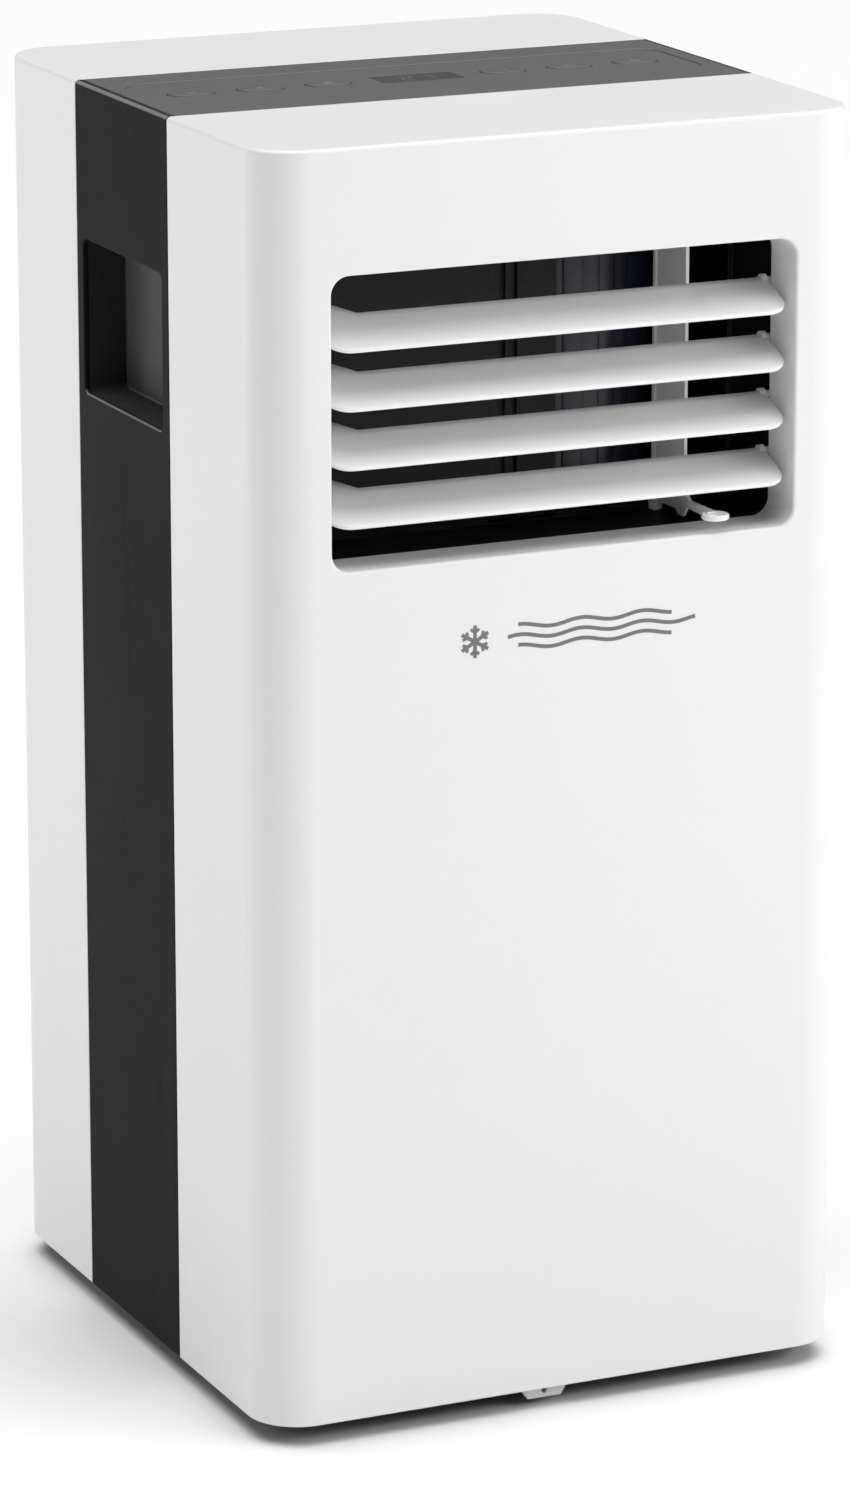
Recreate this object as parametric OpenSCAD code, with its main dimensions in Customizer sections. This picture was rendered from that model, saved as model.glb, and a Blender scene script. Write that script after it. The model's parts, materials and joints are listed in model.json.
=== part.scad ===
/* [Body] */
// Width of the case, side to side
body_w = 346; // [340:1:360]
// Depth of the case, front to back
body_d = 372; // [368:1:384]
// Height of the case above its lower edge
shell_h = 690; // [680:1:710]
// Gap between the floor and the case's lower edge
floor_gap = 12; // [10:1:14]
// Radius of the four upright corners
corner_r = 29; // [24:1:32]
// Radius of the edge round the top
edge_r = 5; // [3:0.5:6]
// Wall thickness of the moulded shells
wall = 3; // [2.5:0.1:3.2]
// Gap along the seams between the shells
seam = 0.3; // [0.2:0.1:0.5]

/* [Side band] */
// Width of the dark band that runs up the sides and over the top
band_w = 131; // [125:1:135]
// How far the band's middle lies behind the case's middle
band_shift = 5.5; // [4:0.5:7]
// Width of the side panels' lips on the top face
band_lip = 4.6; // [4:0.2:6]

/* [Handle pockets] */
// Width of a pocket, front to back
pocket_w = 112; // [100:1:114]
// Height of a pocket
pocket_h = 85; // [70:1:90]
// Depth of a pocket
pocket_depth = 26; // [20:1:26]
// Height of a pocket's lower edge above the case's lower edge
pocket_low = 519.5; // [510:0.5:530]
// Corner radius of a pocket
pocket_r = 7; // [4:1:12]

/* [Air outlet] */
// Width of the outlet opening
vent_w = 268; // [260:1:270]
// Height of the outlet opening
vent_h = 155.5; // [150:0.5:157]
// Height of the outlet's lower edge above the case's lower edge
vent_low = 468; // [466:0.5:470]
// Corner radius of the outlet opening
vent_r = 10; // [6:1:12]
// Depth of the white frame round the outlet
bezel_depth = 24; // [22:1:25]

/* [Louvres] */
// Distance between two louvres
louvre_pitch = 31; // [30.5:0.1:31.5]
// Width of a louvre from its pivot to its front edge
louvre_chord = 34.3; // [33:0.1:34.5]
// Thickness of a louvre
louvre_t = 2.8; // [2.4:0.1:3]
// Tilt of the louvres, front edge down
louvre_tilt = 22; // [18:1:24]
// Radius of a louvre's front corners
louvre_r = 16; // [10:1:18]
// Distance from a louvre's pivot to its crank pin
crank = 10; // [9:0.5:11]

/* [Hose and drains] */
// Inner radius of the exhaust hose socket
socket_r = 66; // [64:0.5:67]
// Length of the exhaust hose socket
socket_l = 25; // [24:1:26]
// Inner radius of a drain spout
drain_r = 5; // [4:0.5:5.5]

/* [Castors] */
// Radius of a castor wheel
castor_r = 17; // [16:0.5:18]
// Distance from the swivel axis to the wheel's axle
castor_trail = 12; // [10:0.5:12]
// Castor positions, half the distance across
castor_x = 128; // [126:1:129]
// Castor positions, half the distance front to back
castor_y = 140; // [138:1:142]

/* [Hidden] */

eps = 0.01;
fit = 0.05;             // radial clearance of a shaft that turns in a hole
gap = 0.4;              // clearance between pieces that slide past each other
z0 = floor_gap;
z_top = z0 + shell_h;
half_w = body_w / 2;
half_d = body_d / 2;
band_y0 = band_shift - band_w / 2;
band_y1 = band_shift + band_w / 2;
proud = 4;              // how far the smallest fittings stand out of the front and back

white = "whitesmoke";
dark = "dimgray";
black = "darkslategray";

// Outlet, its duct and its louvres
vent_z0 = z0 + vent_low;
vent_mid = vent_z0 + vent_h / 2;
bezel_t = 2.5;
bezel_y = -half_d + bezel_depth;
duct_t = 2.5;
duct_grow = 2.75;       // how far the duct is wider than the opening, on each side
duct_y0 = bezel_y + gap;
duct_y1 = -104;
duct_x = vent_w / 2 + duct_grow;
duct_z0 = vent_z0 - duct_grow;
duct_z1 = vent_z0 + vent_h + duct_grow;
pivot_y = -half_d + 33.7;
pivot_r = 2;
louvre_half = vent_w / 2 - 3;
ear_t = 3;
first_front_z = z0 + 582.3;
function louvre_z(i) = first_front_z - (i - 1) * louvre_pitch + louvre_chord * sin(louvre_tilt);
crank_y = pivot_y + crank * cos(louvre_tilt);
crank_dz = crank * sin(louvre_tilt);
crank_r = 1.5;
link_x = -(louvre_half - ear_t - gap);
vane_x = 89;
vane_y = -111.5;
vane_front = -147;
lever_z = vent_z0 + 7;
ring_r = 7.5;
ring_y = -half_d - proud + ring_r;

// Upper blower
blower_x = 45;
blower_y = -22;
blower_r = 76;
blower_h = 134;
blower_z = vent_z0 + 10;
scroll_r = 96;
scroll_t = 2.5;
tongue_x = -8;
shaft_r = 4;

// Coils
coil_half = 128;
coil_y0 = 129;
coil_t = 34;
evap_z0 = z0 + 425;
evap_h = 225;
cond_z0 = z0 + 58;
cond_h = 170;
tube_r = 3.5;
tube_pitch = 25;

// Tray between the two compartments, and base pan
tray_z = z0 + 392;
tray_rim = 16;
pan_z = z0 + 1;
pan_floor = 4;
pan_rim = 47;
pan_half_w = half_w - wall - gap;
pan_half_d = half_d - wall - gap;
pan_r = corner_r - wall - gap;
well_r = castor_r + castor_trail + 4;
well_z = 43;
stem_r = 4;

// Exhaust blower
fan_x = 20;
fan_z = 150;
fan_r = 70;
case_r = 86;
case_y0 = 60;
case_y1 = 118;
socket_x = 60;
socket_z = z0 + 310;
elbow_x0 = -12;
elbow_x1 = 132;
elbow_z0 = z0 + 240;
elbow_z1 = z0 + 384;
elbow_y1 = half_d + proud - socket_l;

// Rear openings, fittings and compressor
grille_half = 120;
grille_z = [z0 + 420, z0 + 660];
intake_z = [z0 + 52, z0 + 226];
grille_r = 8;
drain_x = -100;
drain_z = z0 + 402;
sump_z = z0 + 18;
gland_x = -100;
gland_z = z0 + 318;
screw_x = 136;
screw_heights = [z0 + 62, z0 + 240, z0 + 426, z0 + 674];
comp_x = -80;
comp_y = -72;
comp_r = 54;
comp_feet_r = 74;
comp_feet = [30, 150, 270];
slinger_x = -45;
slinger_z = 42;
slinger_r = 20;
float_x = 45;
float_y = 152;
float_z = 44;

// Control field
field_w = 320;
field_d = 75;
field_r = 16;
key_names = ["power", "mode", "fan", "down", "up", "timer"];
key_xs = [-132, -92, -52, 52, 92, 132];
key_w = 26;
key_d = 14;
display_w = 48;
display_d = 24;

/* ---------- shared shapes ---------- */

// Flat rectangle with round corners, centred
module round_rect(w, h, r) {
    square([w - 2 * r, h], center = true);
    square([w, h - 2 * r], center = true);
    for (x = [-1, 1], y = [-1, 1])
        translate([x * (w / 2 - r), y * (h / 2 - r)]) circle(r, $fn = 48);
}

// Stands a flat X-Y outline up in the X-Z plane, from y0 to y1
module upright(y0, y1) {
    translate([0, y1, 0]) rotate([90, 0, 0]) linear_extrude(y1 - y0) children();
}

// Stands a flat outline up in the Y-Z plane, from x0 to x1
module sideways(x0, x1) {
    translate([x0, 0, 0]) rotate([90, 0, 90]) linear_extrude(x1 - x0) children();
}

// Cylinder along Y from y0 to y1
module rod_y(x, z, r, y0, y1) {
    translate([x, y1, z]) rotate([90, 0, 0]) cylinder(r = r, h = y1 - y0, $fn = 64);
}

// Cylinder along X from x0 to x1
module rod_x(y, z, r, x0, x1) {
    translate([x0, y, z]) rotate([0, 90, 0]) cylinder(r = r, h = x1 - x0, $fn = 64);
}

module block(low, high) {
    translate(low) cube(high - low);
}

// Outer form of the whole case, with its upright corners and round top edge
module case_form() {
    hull() {
        for (x = [-1, 1], y = [-1, 1])
            translate([x * (half_w - corner_r), y * (half_d - corner_r), 0]) {
                translate([0, 0, z0]) cylinder(r = corner_r, h = shell_h - edge_r, $fn = 64);
                for (a = [22.5 : 22.5 : 90])
                    translate([0, 0, z_top - edge_r])
                        cylinder(r = corner_r - edge_r * (1 - cos(a)), h = edge_r * sin(a), $fn = 64);
            }
    }
}

// Hollow of the case, open at the bottom
module case_hollow() {
    translate([0, 0, z0 - 1]) linear_extrude(shell_h - wall + 1)
        round_rect(body_w - 2 * wall, body_d - 2 * wall, corner_r - wall);
}

// Part of the case's shell between two heights of Y
module case_slice(y0, y1) {
    difference() {
        intersection() {
            case_form();
            block([-half_w - 1, y0, 0], [half_w + 1, y1, z_top + 1]);
        }
        case_hollow();
    }
}

// Round tube that follows a list of points, with ball corners
module pipe_run(points, r) {
    for (i = [0 : len(points) - 2]) {
        step = points[i + 1] - points[i];
        length = norm(step);
        translate(points[i])
            rotate([0, acos(step[2] / length), atan2(step[1], step[0])])
                cylinder(r = r, h = length, $fn = 24);
        if (i > 0) translate(points[i]) sphere(r, $fn = 24);
    }
}

/* ---------- case ---------- */

module front_panel() {
    color(white) difference() {
        union() {
            case_slice(-half_d - 1, band_y0 - seam / 2);
            translate([0, 0, vent_mid]) upright(-half_d + wall / 2, bezel_y)
                round_rect(vent_w + 2 * bezel_t, vent_h + 2 * bezel_t, vent_r + bezel_t);
        }
        translate([0, 0, vent_mid]) upright(-half_d - 1, bezel_y + 1)
            round_rect(vent_w, vent_h, vent_r);
    }
}

module rear_housing() {
    boss_l = 14;
    color(white) difference() {
        union() {
            case_slice(band_y1 + seam / 2, half_d + 1);
            for (x = [-1, 1], z = screw_heights)
                rod_y(x * screw_x, z, 7, half_d - boss_l, half_d - wall / 2);
        }
        for (z = [grille_z, intake_z])
            translate([0, 0, (z[0] + z[1]) / 2]) upright(half_d - wall - 1, half_d + 1)
                round_rect(2 * grille_half, z[1] - z[0], grille_r);
        rod_y(socket_x, socket_z, socket_r + 5.3, half_d - 10, half_d + 1);
        rod_y(drain_x, drain_z, drain_r + 2.4, half_d - 10, half_d + 1);
        rod_y(0, sump_z, drain_r + 2.4, half_d - 10, half_d + 1);
        rod_y(gland_x, gland_z, 9.2, half_d - 10, half_d + 1);
        for (x = [-1, 1], z = screw_heights) {
            rod_y(x * screw_x, z, 2.2, half_d - boss_l - 1, half_d + 1);
            rod_y(x * screw_x, z, 4.6, half_d - 3.4, half_d + 1);
        }
    }
}

// Side panel on the left; the right one is its mirror image
module side_panel() {
    pocket_mid_y = band_shift + 0.5;
    pocket_mid_z = z0 + pocket_low + pocket_h / 2;
    pocket_t = 2.5;
    difference() {
        union() {
            intersection() {
                case_slice(band_y0 + seam / 2, band_y1 - seam / 2);
                block([-half_w - 1, -half_d, 0], [-half_w + band_lip, half_d, z_top + 1]);
            }
            translate([0, pocket_mid_y, pocket_mid_z])
                sideways(-half_w + wall / 2, -half_w + pocket_depth + pocket_t)
                    round_rect(pocket_w + 2 * pocket_t, pocket_h + 2 * pocket_t, pocket_r + pocket_t);
        }
        translate([0, pocket_mid_y, pocket_mid_z]) sideways(-half_w - 1, -half_w + pocket_depth)
            round_rect(pocket_w, pocket_h, pocket_r);
    }
}

module side_panel_left() { color(black) side_panel(); }
module side_panel_right() { color(black) mirror([1, 0, 0]) side_panel(); }

module top_panel() {
    lip_x = half_w - band_lip - seam;
    color(dark) difference() {
        block([-lip_x, band_y0 + seam / 2, z_top - wall], [lip_x, band_y1 - seam / 2, z_top]);
        translate([0, band_shift, z_top - wall - 1]) linear_extrude(wall + 2)
            round_rect(field_w, field_d, field_r);
    }
}

module key_outline(w = key_w, d = key_d) {
    round_rect(w, d, d / 2 - eps);
}

module control_fascia() {
    color(dark) translate([0, band_shift, z_top - 2.6]) difference() {
        linear_extrude(2) round_rect(field_w - seam, field_d - seam, field_r - seam / 2);
        translate([0, 0, -1]) linear_extrude(4) square([display_w, display_d], center = true);
        for (x = key_xs) translate([x, 0, -1]) linear_extrude(4)
            key_outline(key_w + gap * 2, key_d + gap * 2);
    }
}

module display_window() {
    color("black") translate([0, band_shift, z_top - 2.6])
        linear_extrude(1.8) square([display_w - seam, display_d - seam], center = true);
}

// One push key: its cap, and its foot above the board
module key(i) {
    color("gray") translate([key_xs[i], band_shift, z_top]) {
        translate([0, 0, -5]) linear_extrude(4.9) key_outline();
        translate([0, 0, -7.4]) cylinder(r = 3, h = 2.5, $fn = 32);
    }
}
module key_power() { key(0); }
module key_mode() { key(1); }
module key_fan() { key(2); }
module key_down() { key(3); }
module key_up() { key(4); }
module key_timer() { key(5); }

module control_board() {
    board_z = z_top - 11;
    color("green") {
        block([-150, band_shift - 30, board_z - 1.6], [150, band_shift + 30, board_z]);
        block([-display_w / 2, band_shift - 10, board_z], [display_w / 2, band_shift + 10, board_z + 6]);
        for (x = key_xs) block([x - 3, band_shift - 3, board_z], [x + 3, band_shift + 3, board_z + 2.4]);
    }
}

/* ---------- base ---------- */

module castor_places() {
    for (x = [-1, 1], y = [-1, 1]) translate([x * castor_x, y * castor_y, 0]) children();
}

// Spout that a drain plug closes, from y0 out through the back of the case
module spout(x, z, y0) {
    rod_y(x, z, drain_r + 2, y0, half_d);
}

module base_pan() {
    color(black) difference() {
        union() {
            difference() {
                translate([0, 0, pan_z]) linear_extrude(pan_rim)
                    round_rect(2 * pan_half_w, 2 * pan_half_d, pan_r);
                translate([0, 0, pan_z + pan_floor]) linear_extrude(pan_rim)
                    round_rect(2 * (pan_half_w - wall), 2 * (pan_half_d - wall), pan_r - wall);
            }
            castor_places() {
                translate([0, 0, pan_z]) cylinder(r = well_r + wall, h = well_z + wall - pan_z, $fn = 64);
                translate([0, 0, well_z]) cylinder(r = 9, h = 20, $fn = 32);
            }
            for (a = comp_feet)
                translate([comp_x + comp_feet_r * cos(a), comp_y + comp_feet_r * sin(a), pan_z])
                    cylinder(r = 9, h = 44 - pan_z, $fn = 32);
            for (x = [-7, 4.5])
                block([float_x + x, float_y - 5, pan_z + 1], [float_x + x + 2.5, float_y + 5, float_z + 5]);
            spout(0, sump_z, pan_half_d - wall);
            block([slinger_x - 14, 96, pan_z + 1], [slinger_x + 14, 122, slinger_z - 16.2]);
        }
        castor_places() {
            translate([0, 0, pan_z - 1]) cylinder(r = well_r, h = well_z - pan_z + 1, $fn = 64);
            translate([0, 0, well_z - 1]) cylinder(r = stem_r + fit, h = 18, $fn = 32);
        }
        rod_x(float_y, float_z, 1.5 + fit, float_x - 10, float_x + 10);
        rod_y(0, sump_z, drain_r, pan_half_d - wall - 1, half_d + 1);
    }
}

// Screw tab of the base that shows under the front edge
module front_tab() {
    tab_x = -8;
    color("lightgray") difference() {
        translate([tab_x, 0, 0]) upright(-half_d + 5, -half_d + 9)
            polygon([[-15, pan_z - gap], [15, pan_z - gap], [10, z0 - 7], [-10, z0 - 7]]);
        rod_y(tab_x, z0 - 3, 1.6, -half_d, -half_d + 12);
    }
}

// Swivelling fork: its stem, plate, two cheeks and axle
module castor_fork(sx, sy) {
    cheek_x = 9;
    plate_z = well_z - 3.6;
    color("gray") translate([sx * castor_x, sy * castor_y, 0]) {
        translate([0, 0, plate_z]) cylinder(r = 14, h = 3, $fn = 48);
        translate([0, 0, plate_z + 1]) cylinder(r = stem_r, h = well_z + 15 - plate_z, $fn = 32);
        for (x = [-cheek_x - 2, cheek_x]) sideways(x, x + 2) {
            polygon([[-8, plate_z + 1], [8, plate_z + 1], [castor_trail + 4.5, castor_r], [castor_trail - 4.5, castor_r]]);
            translate([castor_trail, castor_r]) circle(5, $fn = 32);
        }
        rod_x(castor_trail, castor_r, 2.5, -cheek_x - 1, cheek_x + 1);
    }
}
module castor_fork_fl() { castor_fork(-1, -1); }
module castor_fork_fr() { castor_fork(1, -1); }
module castor_fork_rl() { castor_fork(-1, 1); }
module castor_fork_rr() { castor_fork(1, 1); }

module castor_wheel(sx, sy) {
    half = 8;
    shoulder = 2;
    color("dimgray") translate([sx * castor_x, sy * castor_y + castor_trail, castor_r])
        rotate([0, 90, 0]) rotate_extrude($fn = 64) difference() {
            union() {
                translate([0, -half + shoulder]) square([castor_r, 2 * half - 2 * shoulder]);
                translate([0, -half]) square([castor_r - shoulder, 2 * half]);
                for (y = [-1, 1]) translate([castor_r - shoulder, y * (half - shoulder)])
                    circle(shoulder, $fn = 32);
            }
            translate([-1, -half - 1]) square([1 + 2.5 + fit, 2 * half + 2]);
        }
}
module castor_wheel_fl() { castor_wheel(-1, -1); }
module castor_wheel_fr() { castor_wheel(1, -1); }
module castor_wheel_rl() { castor_wheel(-1, 1); }
module castor_wheel_rr() { castor_wheel(1, 1); }

/* ---------- louvres and outlet ---------- */

// One louvre: its blade, two ears with pivot pins, and the crank pin on its left ear
module louvre(i) {
    color(white) translate([0, pivot_y, louvre_z(i)]) rotate([louvre_tilt, 0, 0]) {
        translate([0, 0, -louvre_t / 2]) linear_extrude(louvre_t) {
            translate([-louvre_half, -louvre_chord + louvre_r])
                square([2 * louvre_half, louvre_chord - louvre_r + 2.4]);
            translate([-louvre_half + louvre_r, -louvre_chord])
                square([2 * (louvre_half - louvre_r), louvre_chord]);
            for (x = [-1, 1]) translate([x * (louvre_half - louvre_r), -louvre_chord + louvre_r])
                circle(louvre_r, $fn = 64);
        }
        for (x = [-1, 1]) {
            ear_x = x < 0 ? -louvre_half : louvre_half - ear_t;
            pin_x = x < 0 ? -duct_x - 2.6 : louvre_half - 1;
            sideways(ear_x, ear_x + ear_t) {
                circle(4, $fn = 32);
                translate([0, -2.5]) square([crank, 5]);
                translate([crank, 0]) circle(3, $fn = 32);
            }
            rod_x(0, 0, pivot_r, pin_x, pin_x + duct_x - louvre_half + 3.6);
        }
        rod_x(crank, 0, crank_r, -louvre_half + 1, -louvre_half + ear_t + 4.4);
    }
}
module louvre_1() { louvre(1); }
module louvre_2() { louvre(2); }
module louvre_3() { louvre(3); }
module louvre_4() { louvre(4); }

// Upright bar that joins the louvres' crank pins
module louvre_link() {
    bar_t = 3;
    color("gray") difference() {
        sideways(link_x, link_x + bar_t) {
            translate([crank_y - 3.5, louvre_z(4) + crank_dz])
                square([7, louvre_z(1) - louvre_z(4)]);
            for (i = [1, 4]) translate([crank_y, louvre_z(i) + crank_dz]) circle(3.5, $fn = 32);
        }
        rod_x(crank_y, louvre_z(1) + crank_dz, crank_r + fit, link_x - 1, link_x + bar_t + 1);
        for (i = [2, 3, 4])
            rod_x(crank_y, louvre_z(i) + crank_dz, crank_r + 0.3, link_x - 1, link_x + bar_t + 1);
    }
}

// Upright vane that steers the air sideways, with its finger lever
module air_vane() {
    vane_t = 2;
    arm_t = 3;
    color(white) {
        block([vane_x - vane_t / 2, vane_front, duct_z0 + 3.4], [vane_x + vane_t / 2, vane_y + 4, duct_z1 - 3.4]);
        translate([vane_x, vane_y, duct_z0 - 2.4]) cylinder(r = pivot_r, h = duct_z1 - duct_z0 + 4.8, $fn = 32);
        for (z = [duct_z0 + 0.6, duct_z1 - 4.6])
            translate([vane_x, vane_y, z]) cylinder(r = 4, h = 4, $fn = 32);
        block([vane_x - 3, ring_y + 4, lever_z - arm_t / 2], [vane_x + 3, vane_front + 4, lever_z + arm_t / 2]);
        translate([vane_x, ring_y, lever_z - arm_t / 2]) difference() {
            cylinder(r = ring_r, h = arm_t, $fn = 48);
            translate([0, 0, arm_t + 8.6]) sphere(10, $fn = 48);
        }
    }
}

// Dark duct between the outlet's frame and the blower
module outlet_duct() {
    inner_w = 2 * duct_x;
    inner_h = duct_z1 - duct_z0;
    groove_z = vent_z0 + 141;
    color(black) difference() {
        translate([0, 0, vent_mid]) upright(duct_y0, duct_y1)
            round_rect(inner_w + 2 * duct_t, inner_h + 2 * duct_t, 6);
        translate([0, 0, vent_mid]) upright(duct_y0 - 1, duct_y1 - duct_t)
            round_rect(inner_w, inner_h, 3.5);
        block([tongue_x, duct_y1 - duct_t - 1, duct_z0 + 3], [duct_x - 3, duct_y1 + 1, duct_z1 - 3]);
        block([-duct_x - 1, duct_y1 - duct_t - eps, groove_z], [tongue_x - 8, duct_y1 - 1, groove_z + 3]);
        for (i = [1 : 4]) rod_x(pivot_y, louvre_z(i), pivot_r + fit, -duct_x - 5, duct_x + 5);
        translate([vane_x, vane_y, duct_z0 - 5]) cylinder(r = pivot_r + fit, h = inner_h + 10, $fn = 32);
    }
}

/* ---------- upper blower and evaporator ---------- */

// Flat outline of the blower's housing, pulled in by t
module scroll_outline(t) {
    translate([blower_x, blower_y]) circle(scroll_r - t, $fn = 96);
    polygon([[tongue_x + t, duct_y1 + gap - (t > 0 ? 1 : 0)],
             [blower_x + scroll_r - t, duct_y1 + gap - (t > 0 ? 1 : 0)],
             [blower_x + scroll_r - t, blower_y], [blower_x, blower_y]]);
}

module blower_scroll() {
    scroll_z0 = duct_z0 - duct_t;
    scroll_h = duct_z1 - duct_z0 + 2 * duct_t;
    color(black) difference() {
        translate([0, 0, scroll_z0]) linear_extrude(scroll_h) scroll_outline(0);
        translate([0, 0, scroll_z0 + scroll_t]) linear_extrude(scroll_h - 2 * scroll_t)
            scroll_outline(scroll_t);
        block([-half_w, -half_d, scroll_z0 - 1], [half_w, duct_y1 + gap, scroll_z0 + scroll_h + 1]);
        translate([blower_x, blower_y, scroll_z0 - 1]) cylinder(r = 8, h = 5, $fn = 32);
        translate([blower_x, blower_y, scroll_z0 + scroll_h - 5]) cylinder(r = 62, h = 10, $fn = 96);
    }
}

// Flat outline of a ring of n slanted blades between two radii
module blade_ring(n, r_in, r_out, t, slant) {
    for (a = [0 : 360 / n : 359])
        rotate(a) translate([r_in, 0]) rotate(slant) translate([0, -t / 2]) square([r_out - r_in, t]);
}

// Drum-shaped blower wheel along Z from 0, with its back plate, front ring and shaft
module drum_wheel(r, h, n, shaft_low, shaft_high) {
    ring_w = 13;
    linear_extrude(h) blade_ring(n, r - ring_w, r - 1, 1.6, 24);
    cylinder(r = r, h = 2.5, $fn = 96);
    translate([0, 0, h - 4]) difference() {
        cylinder(r = r, h = 4, $fn = 96);
        translate([0, 0, -1]) cylinder(r = r - ring_w, h = 6, $fn = 96);
    }
    cylinder(r = 14, h = 22, $fn = 48);
    translate([0, 0, shaft_low]) cylinder(r = shaft_r, h = shaft_high - shaft_low, $fn = 32);
}

module blower_wheel() {
    color("slategray") translate([blower_x, blower_y, blower_z])
        drum_wheel(blower_r, blower_h, 36, -38, 26);
}

module blower_motor() {
    motor_h = 44;
    motor_z = duct_z0 - duct_t - 1 - motor_h;
    color("silver") translate([blower_x, blower_y, motor_z]) difference() {
        union() {
            cylinder(r = 40, h = motor_h, $fn = 64);
            translate([0, 0, motor_h - 14]) cylinder(r = 45, h = 4, $fn = 64);
            for (a = [45 : 90 : 359]) rotate(a) translate([42, -5, motor_h - 14]) cube([14, 10, 4]);
        }
        translate([0, 0, 8]) cylinder(r = shaft_r + fit, h = motor_h, $fn = 32);
    }
}

// Block of fins with its two end plates
module fin_block(z, h) {
    for (x = [-1, 1]) block([min(x * coil_half, x * (coil_half + 2)), coil_y0 - 2, z - 3],
                            [max(x * coil_half, x * (coil_half + 2)), coil_y0 + coil_t + 2, z + h + 3]);
    block([-coil_half, coil_y0, z], [coil_half, coil_y0 + coil_t, z + h]);
}

// Half-ring return bends outside both end plates, in two rows
module return_bends(z, h) {
    rows = floor(h / tube_pitch);
    for (y = [coil_y0 + 9, coil_y0 + coil_t - 9], side = [-1, 1])
        for (i = [(side < 0 ? 1 : 0) : 2 : rows - 2])
            translate([side * (coil_half + 2), y, z + tube_pitch * (i + 1)])
                rotate([90, side < 0 ? 0 : 180, 0]) rotate([0, 0, 90])
                    rotate_extrude(angle = 180, $fn = 48) translate([tube_pitch / 2, 0]) circle(tube_r, $fn = 24);
}

module evaporator_fins() { color("lightsteelblue") fin_block(evap_z0, evap_h); }
module evaporator_tubes() { color("peru") return_bends(evap_z0, evap_h); }
module condenser_fins() { color("silver") fin_block(cond_z0, cond_h); }
module condenser_tubes() { color("peru") return_bends(cond_z0, cond_h); }

module drip_tray() {
    tray_w = pan_half_w - 0.4;
    tray_d = pan_half_d - 0.4;
    color("gainsboro") difference() {
        union() {
            difference() {
                translate([0, 0, tray_z]) linear_extrude(tray_rim)
                    round_rect(2 * tray_w, 2 * tray_d, pan_r);
                translate([0, 0, tray_z + 3]) linear_extrude(tray_rim)
                    round_rect(2 * (tray_w - 2.5), 2 * (tray_d - 2.5), pan_r - 2.5);
            }
            spout(drain_x, drain_z, tray_d - 2.5);
            translate([blower_x, blower_y, tray_z]) cylinder(r = 30, h = duct_z0 - duct_t - 45.2 - tray_z, $fn = 48);
            for (x = [-100, 100]) block([x - 8, coil_y0, tray_z + 1], [x + 8, coil_y0 + coil_t, evap_z0 - 0.2]);
        }
        rod_y(drain_x, drain_z, drain_r, tray_d - 3, half_d + 1);
        block([-tray_w - 1, 104, tray_z - 1], [-coil_half - 12, 164, tray_z + tray_rim + 1]);
    }
}

/* ---------- exhaust blower and condenser side ---------- */

// Flat outline of the exhaust blower's housing in X-Z, pulled in by t
module case_outline(t) {
    translate([fan_x, fan_z]) circle(case_r - t, $fn = 96);
    polygon([[elbow_x1 - t, elbow_z1 - t], [elbow_x1 - t, elbow_z0 - 10],
             [fan_x + case_r - t, fan_z], [fan_x, fan_z],
             [elbow_x0 + t, elbow_z0 - 30], [elbow_x0 + t, elbow_z1 - t]]);
}

module exhaust_scroll() {
    t = scroll_t;
    color(black) difference() {
        union() {
            upright(case_y0, case_y1) case_outline(0);
            block([elbow_x0, case_y0, elbow_z0], [elbow_x1, elbow_y1, elbow_z1]);
        }
        upright(case_y0 + t, case_y1 - t) case_outline(t);
        block([elbow_x0 + t, case_y0 + t, elbow_z0 + t], [elbow_x1 - t, elbow_y1 - t, elbow_z1 - t]);
        rod_y(fan_x, fan_z, 8, case_y0 - 1, case_y0 + t + 1);
        rod_y(fan_x, fan_z, 52, case_y1 - t - 1, case_y1 + 1);
        rod_y(socket_x, socket_z, socket_r + 1.5, elbow_y1 - t - 1, elbow_y1 + 1);
    }
}

module exhaust_wheel() {
    color("slategray") translate([fan_x, case_y0 + 7, fan_z]) rotate([-90, 0, 0])
        drum_wheel(fan_r, 42, 32, -34, 30);
}

module exhaust_motor() {
    motor_l = 58;
    color("silver") difference() {
        union() {
            rod_y(fan_x, fan_z, 40, case_y0 - 1 - motor_l, case_y0 - 1);
            rod_y(fan_x, fan_z, 45, case_y0 - 16, case_y0 - 12);
        }
        rod_y(fan_x, fan_z, shaft_r + fit, case_y0 - 34, case_y0 + 1);
    }
}

module exhaust_collar() {
    color(black) difference() {
        union() {
            rod_y(socket_x, socket_z, socket_r + 5, elbow_y1 + 0.2, half_d + 1);
            rod_y(socket_x, socket_z, socket_r + 9, half_d + 0.2, half_d + proud);
        }
        rod_y(socket_x, socket_z, socket_r, elbow_y1 - 1, half_d + proud + 1);
    }
}

/* ---------- compressor and refrigerant circuit ---------- */

module compressor() {
    body_h = 180;
    base_z = 57.4;
    round_r = 18;
    color("dimgray") {
        translate([comp_x, comp_y, base_z + 2]) rotate_extrude($fn = 96) {
            square([comp_r - round_r, body_h]);
            translate([0, round_r]) square([comp_r, body_h - 2 * round_r]);
            for (z = [round_r, body_h - round_r]) intersection() {
                translate([comp_r - round_r, z]) circle(round_r, $fn = 48);
                square([comp_r + 1, body_h]);
            }
        }
        translate([comp_x, comp_y, base_z]) linear_extrude(3) {
            polygon([for (a = comp_feet) comp_feet_r * [cos(a), sin(a)]]);
            for (a = comp_feet) rotate(a) translate([comp_feet_r, 0]) circle(13, $fn = 48);
        }
        translate([comp_x, comp_y, base_z + body_h]) cylinder(r = 12, h = 14, $fn = 48);
        translate([comp_x + comp_r + 25, comp_y, 104]) cylinder(r = 22, h = 120, $fn = 64);
        block([comp_x + comp_r - 6, comp_y - 6, 150], [comp_x + comp_r + 8, comp_y + 6, 166]);
    }
}

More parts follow.
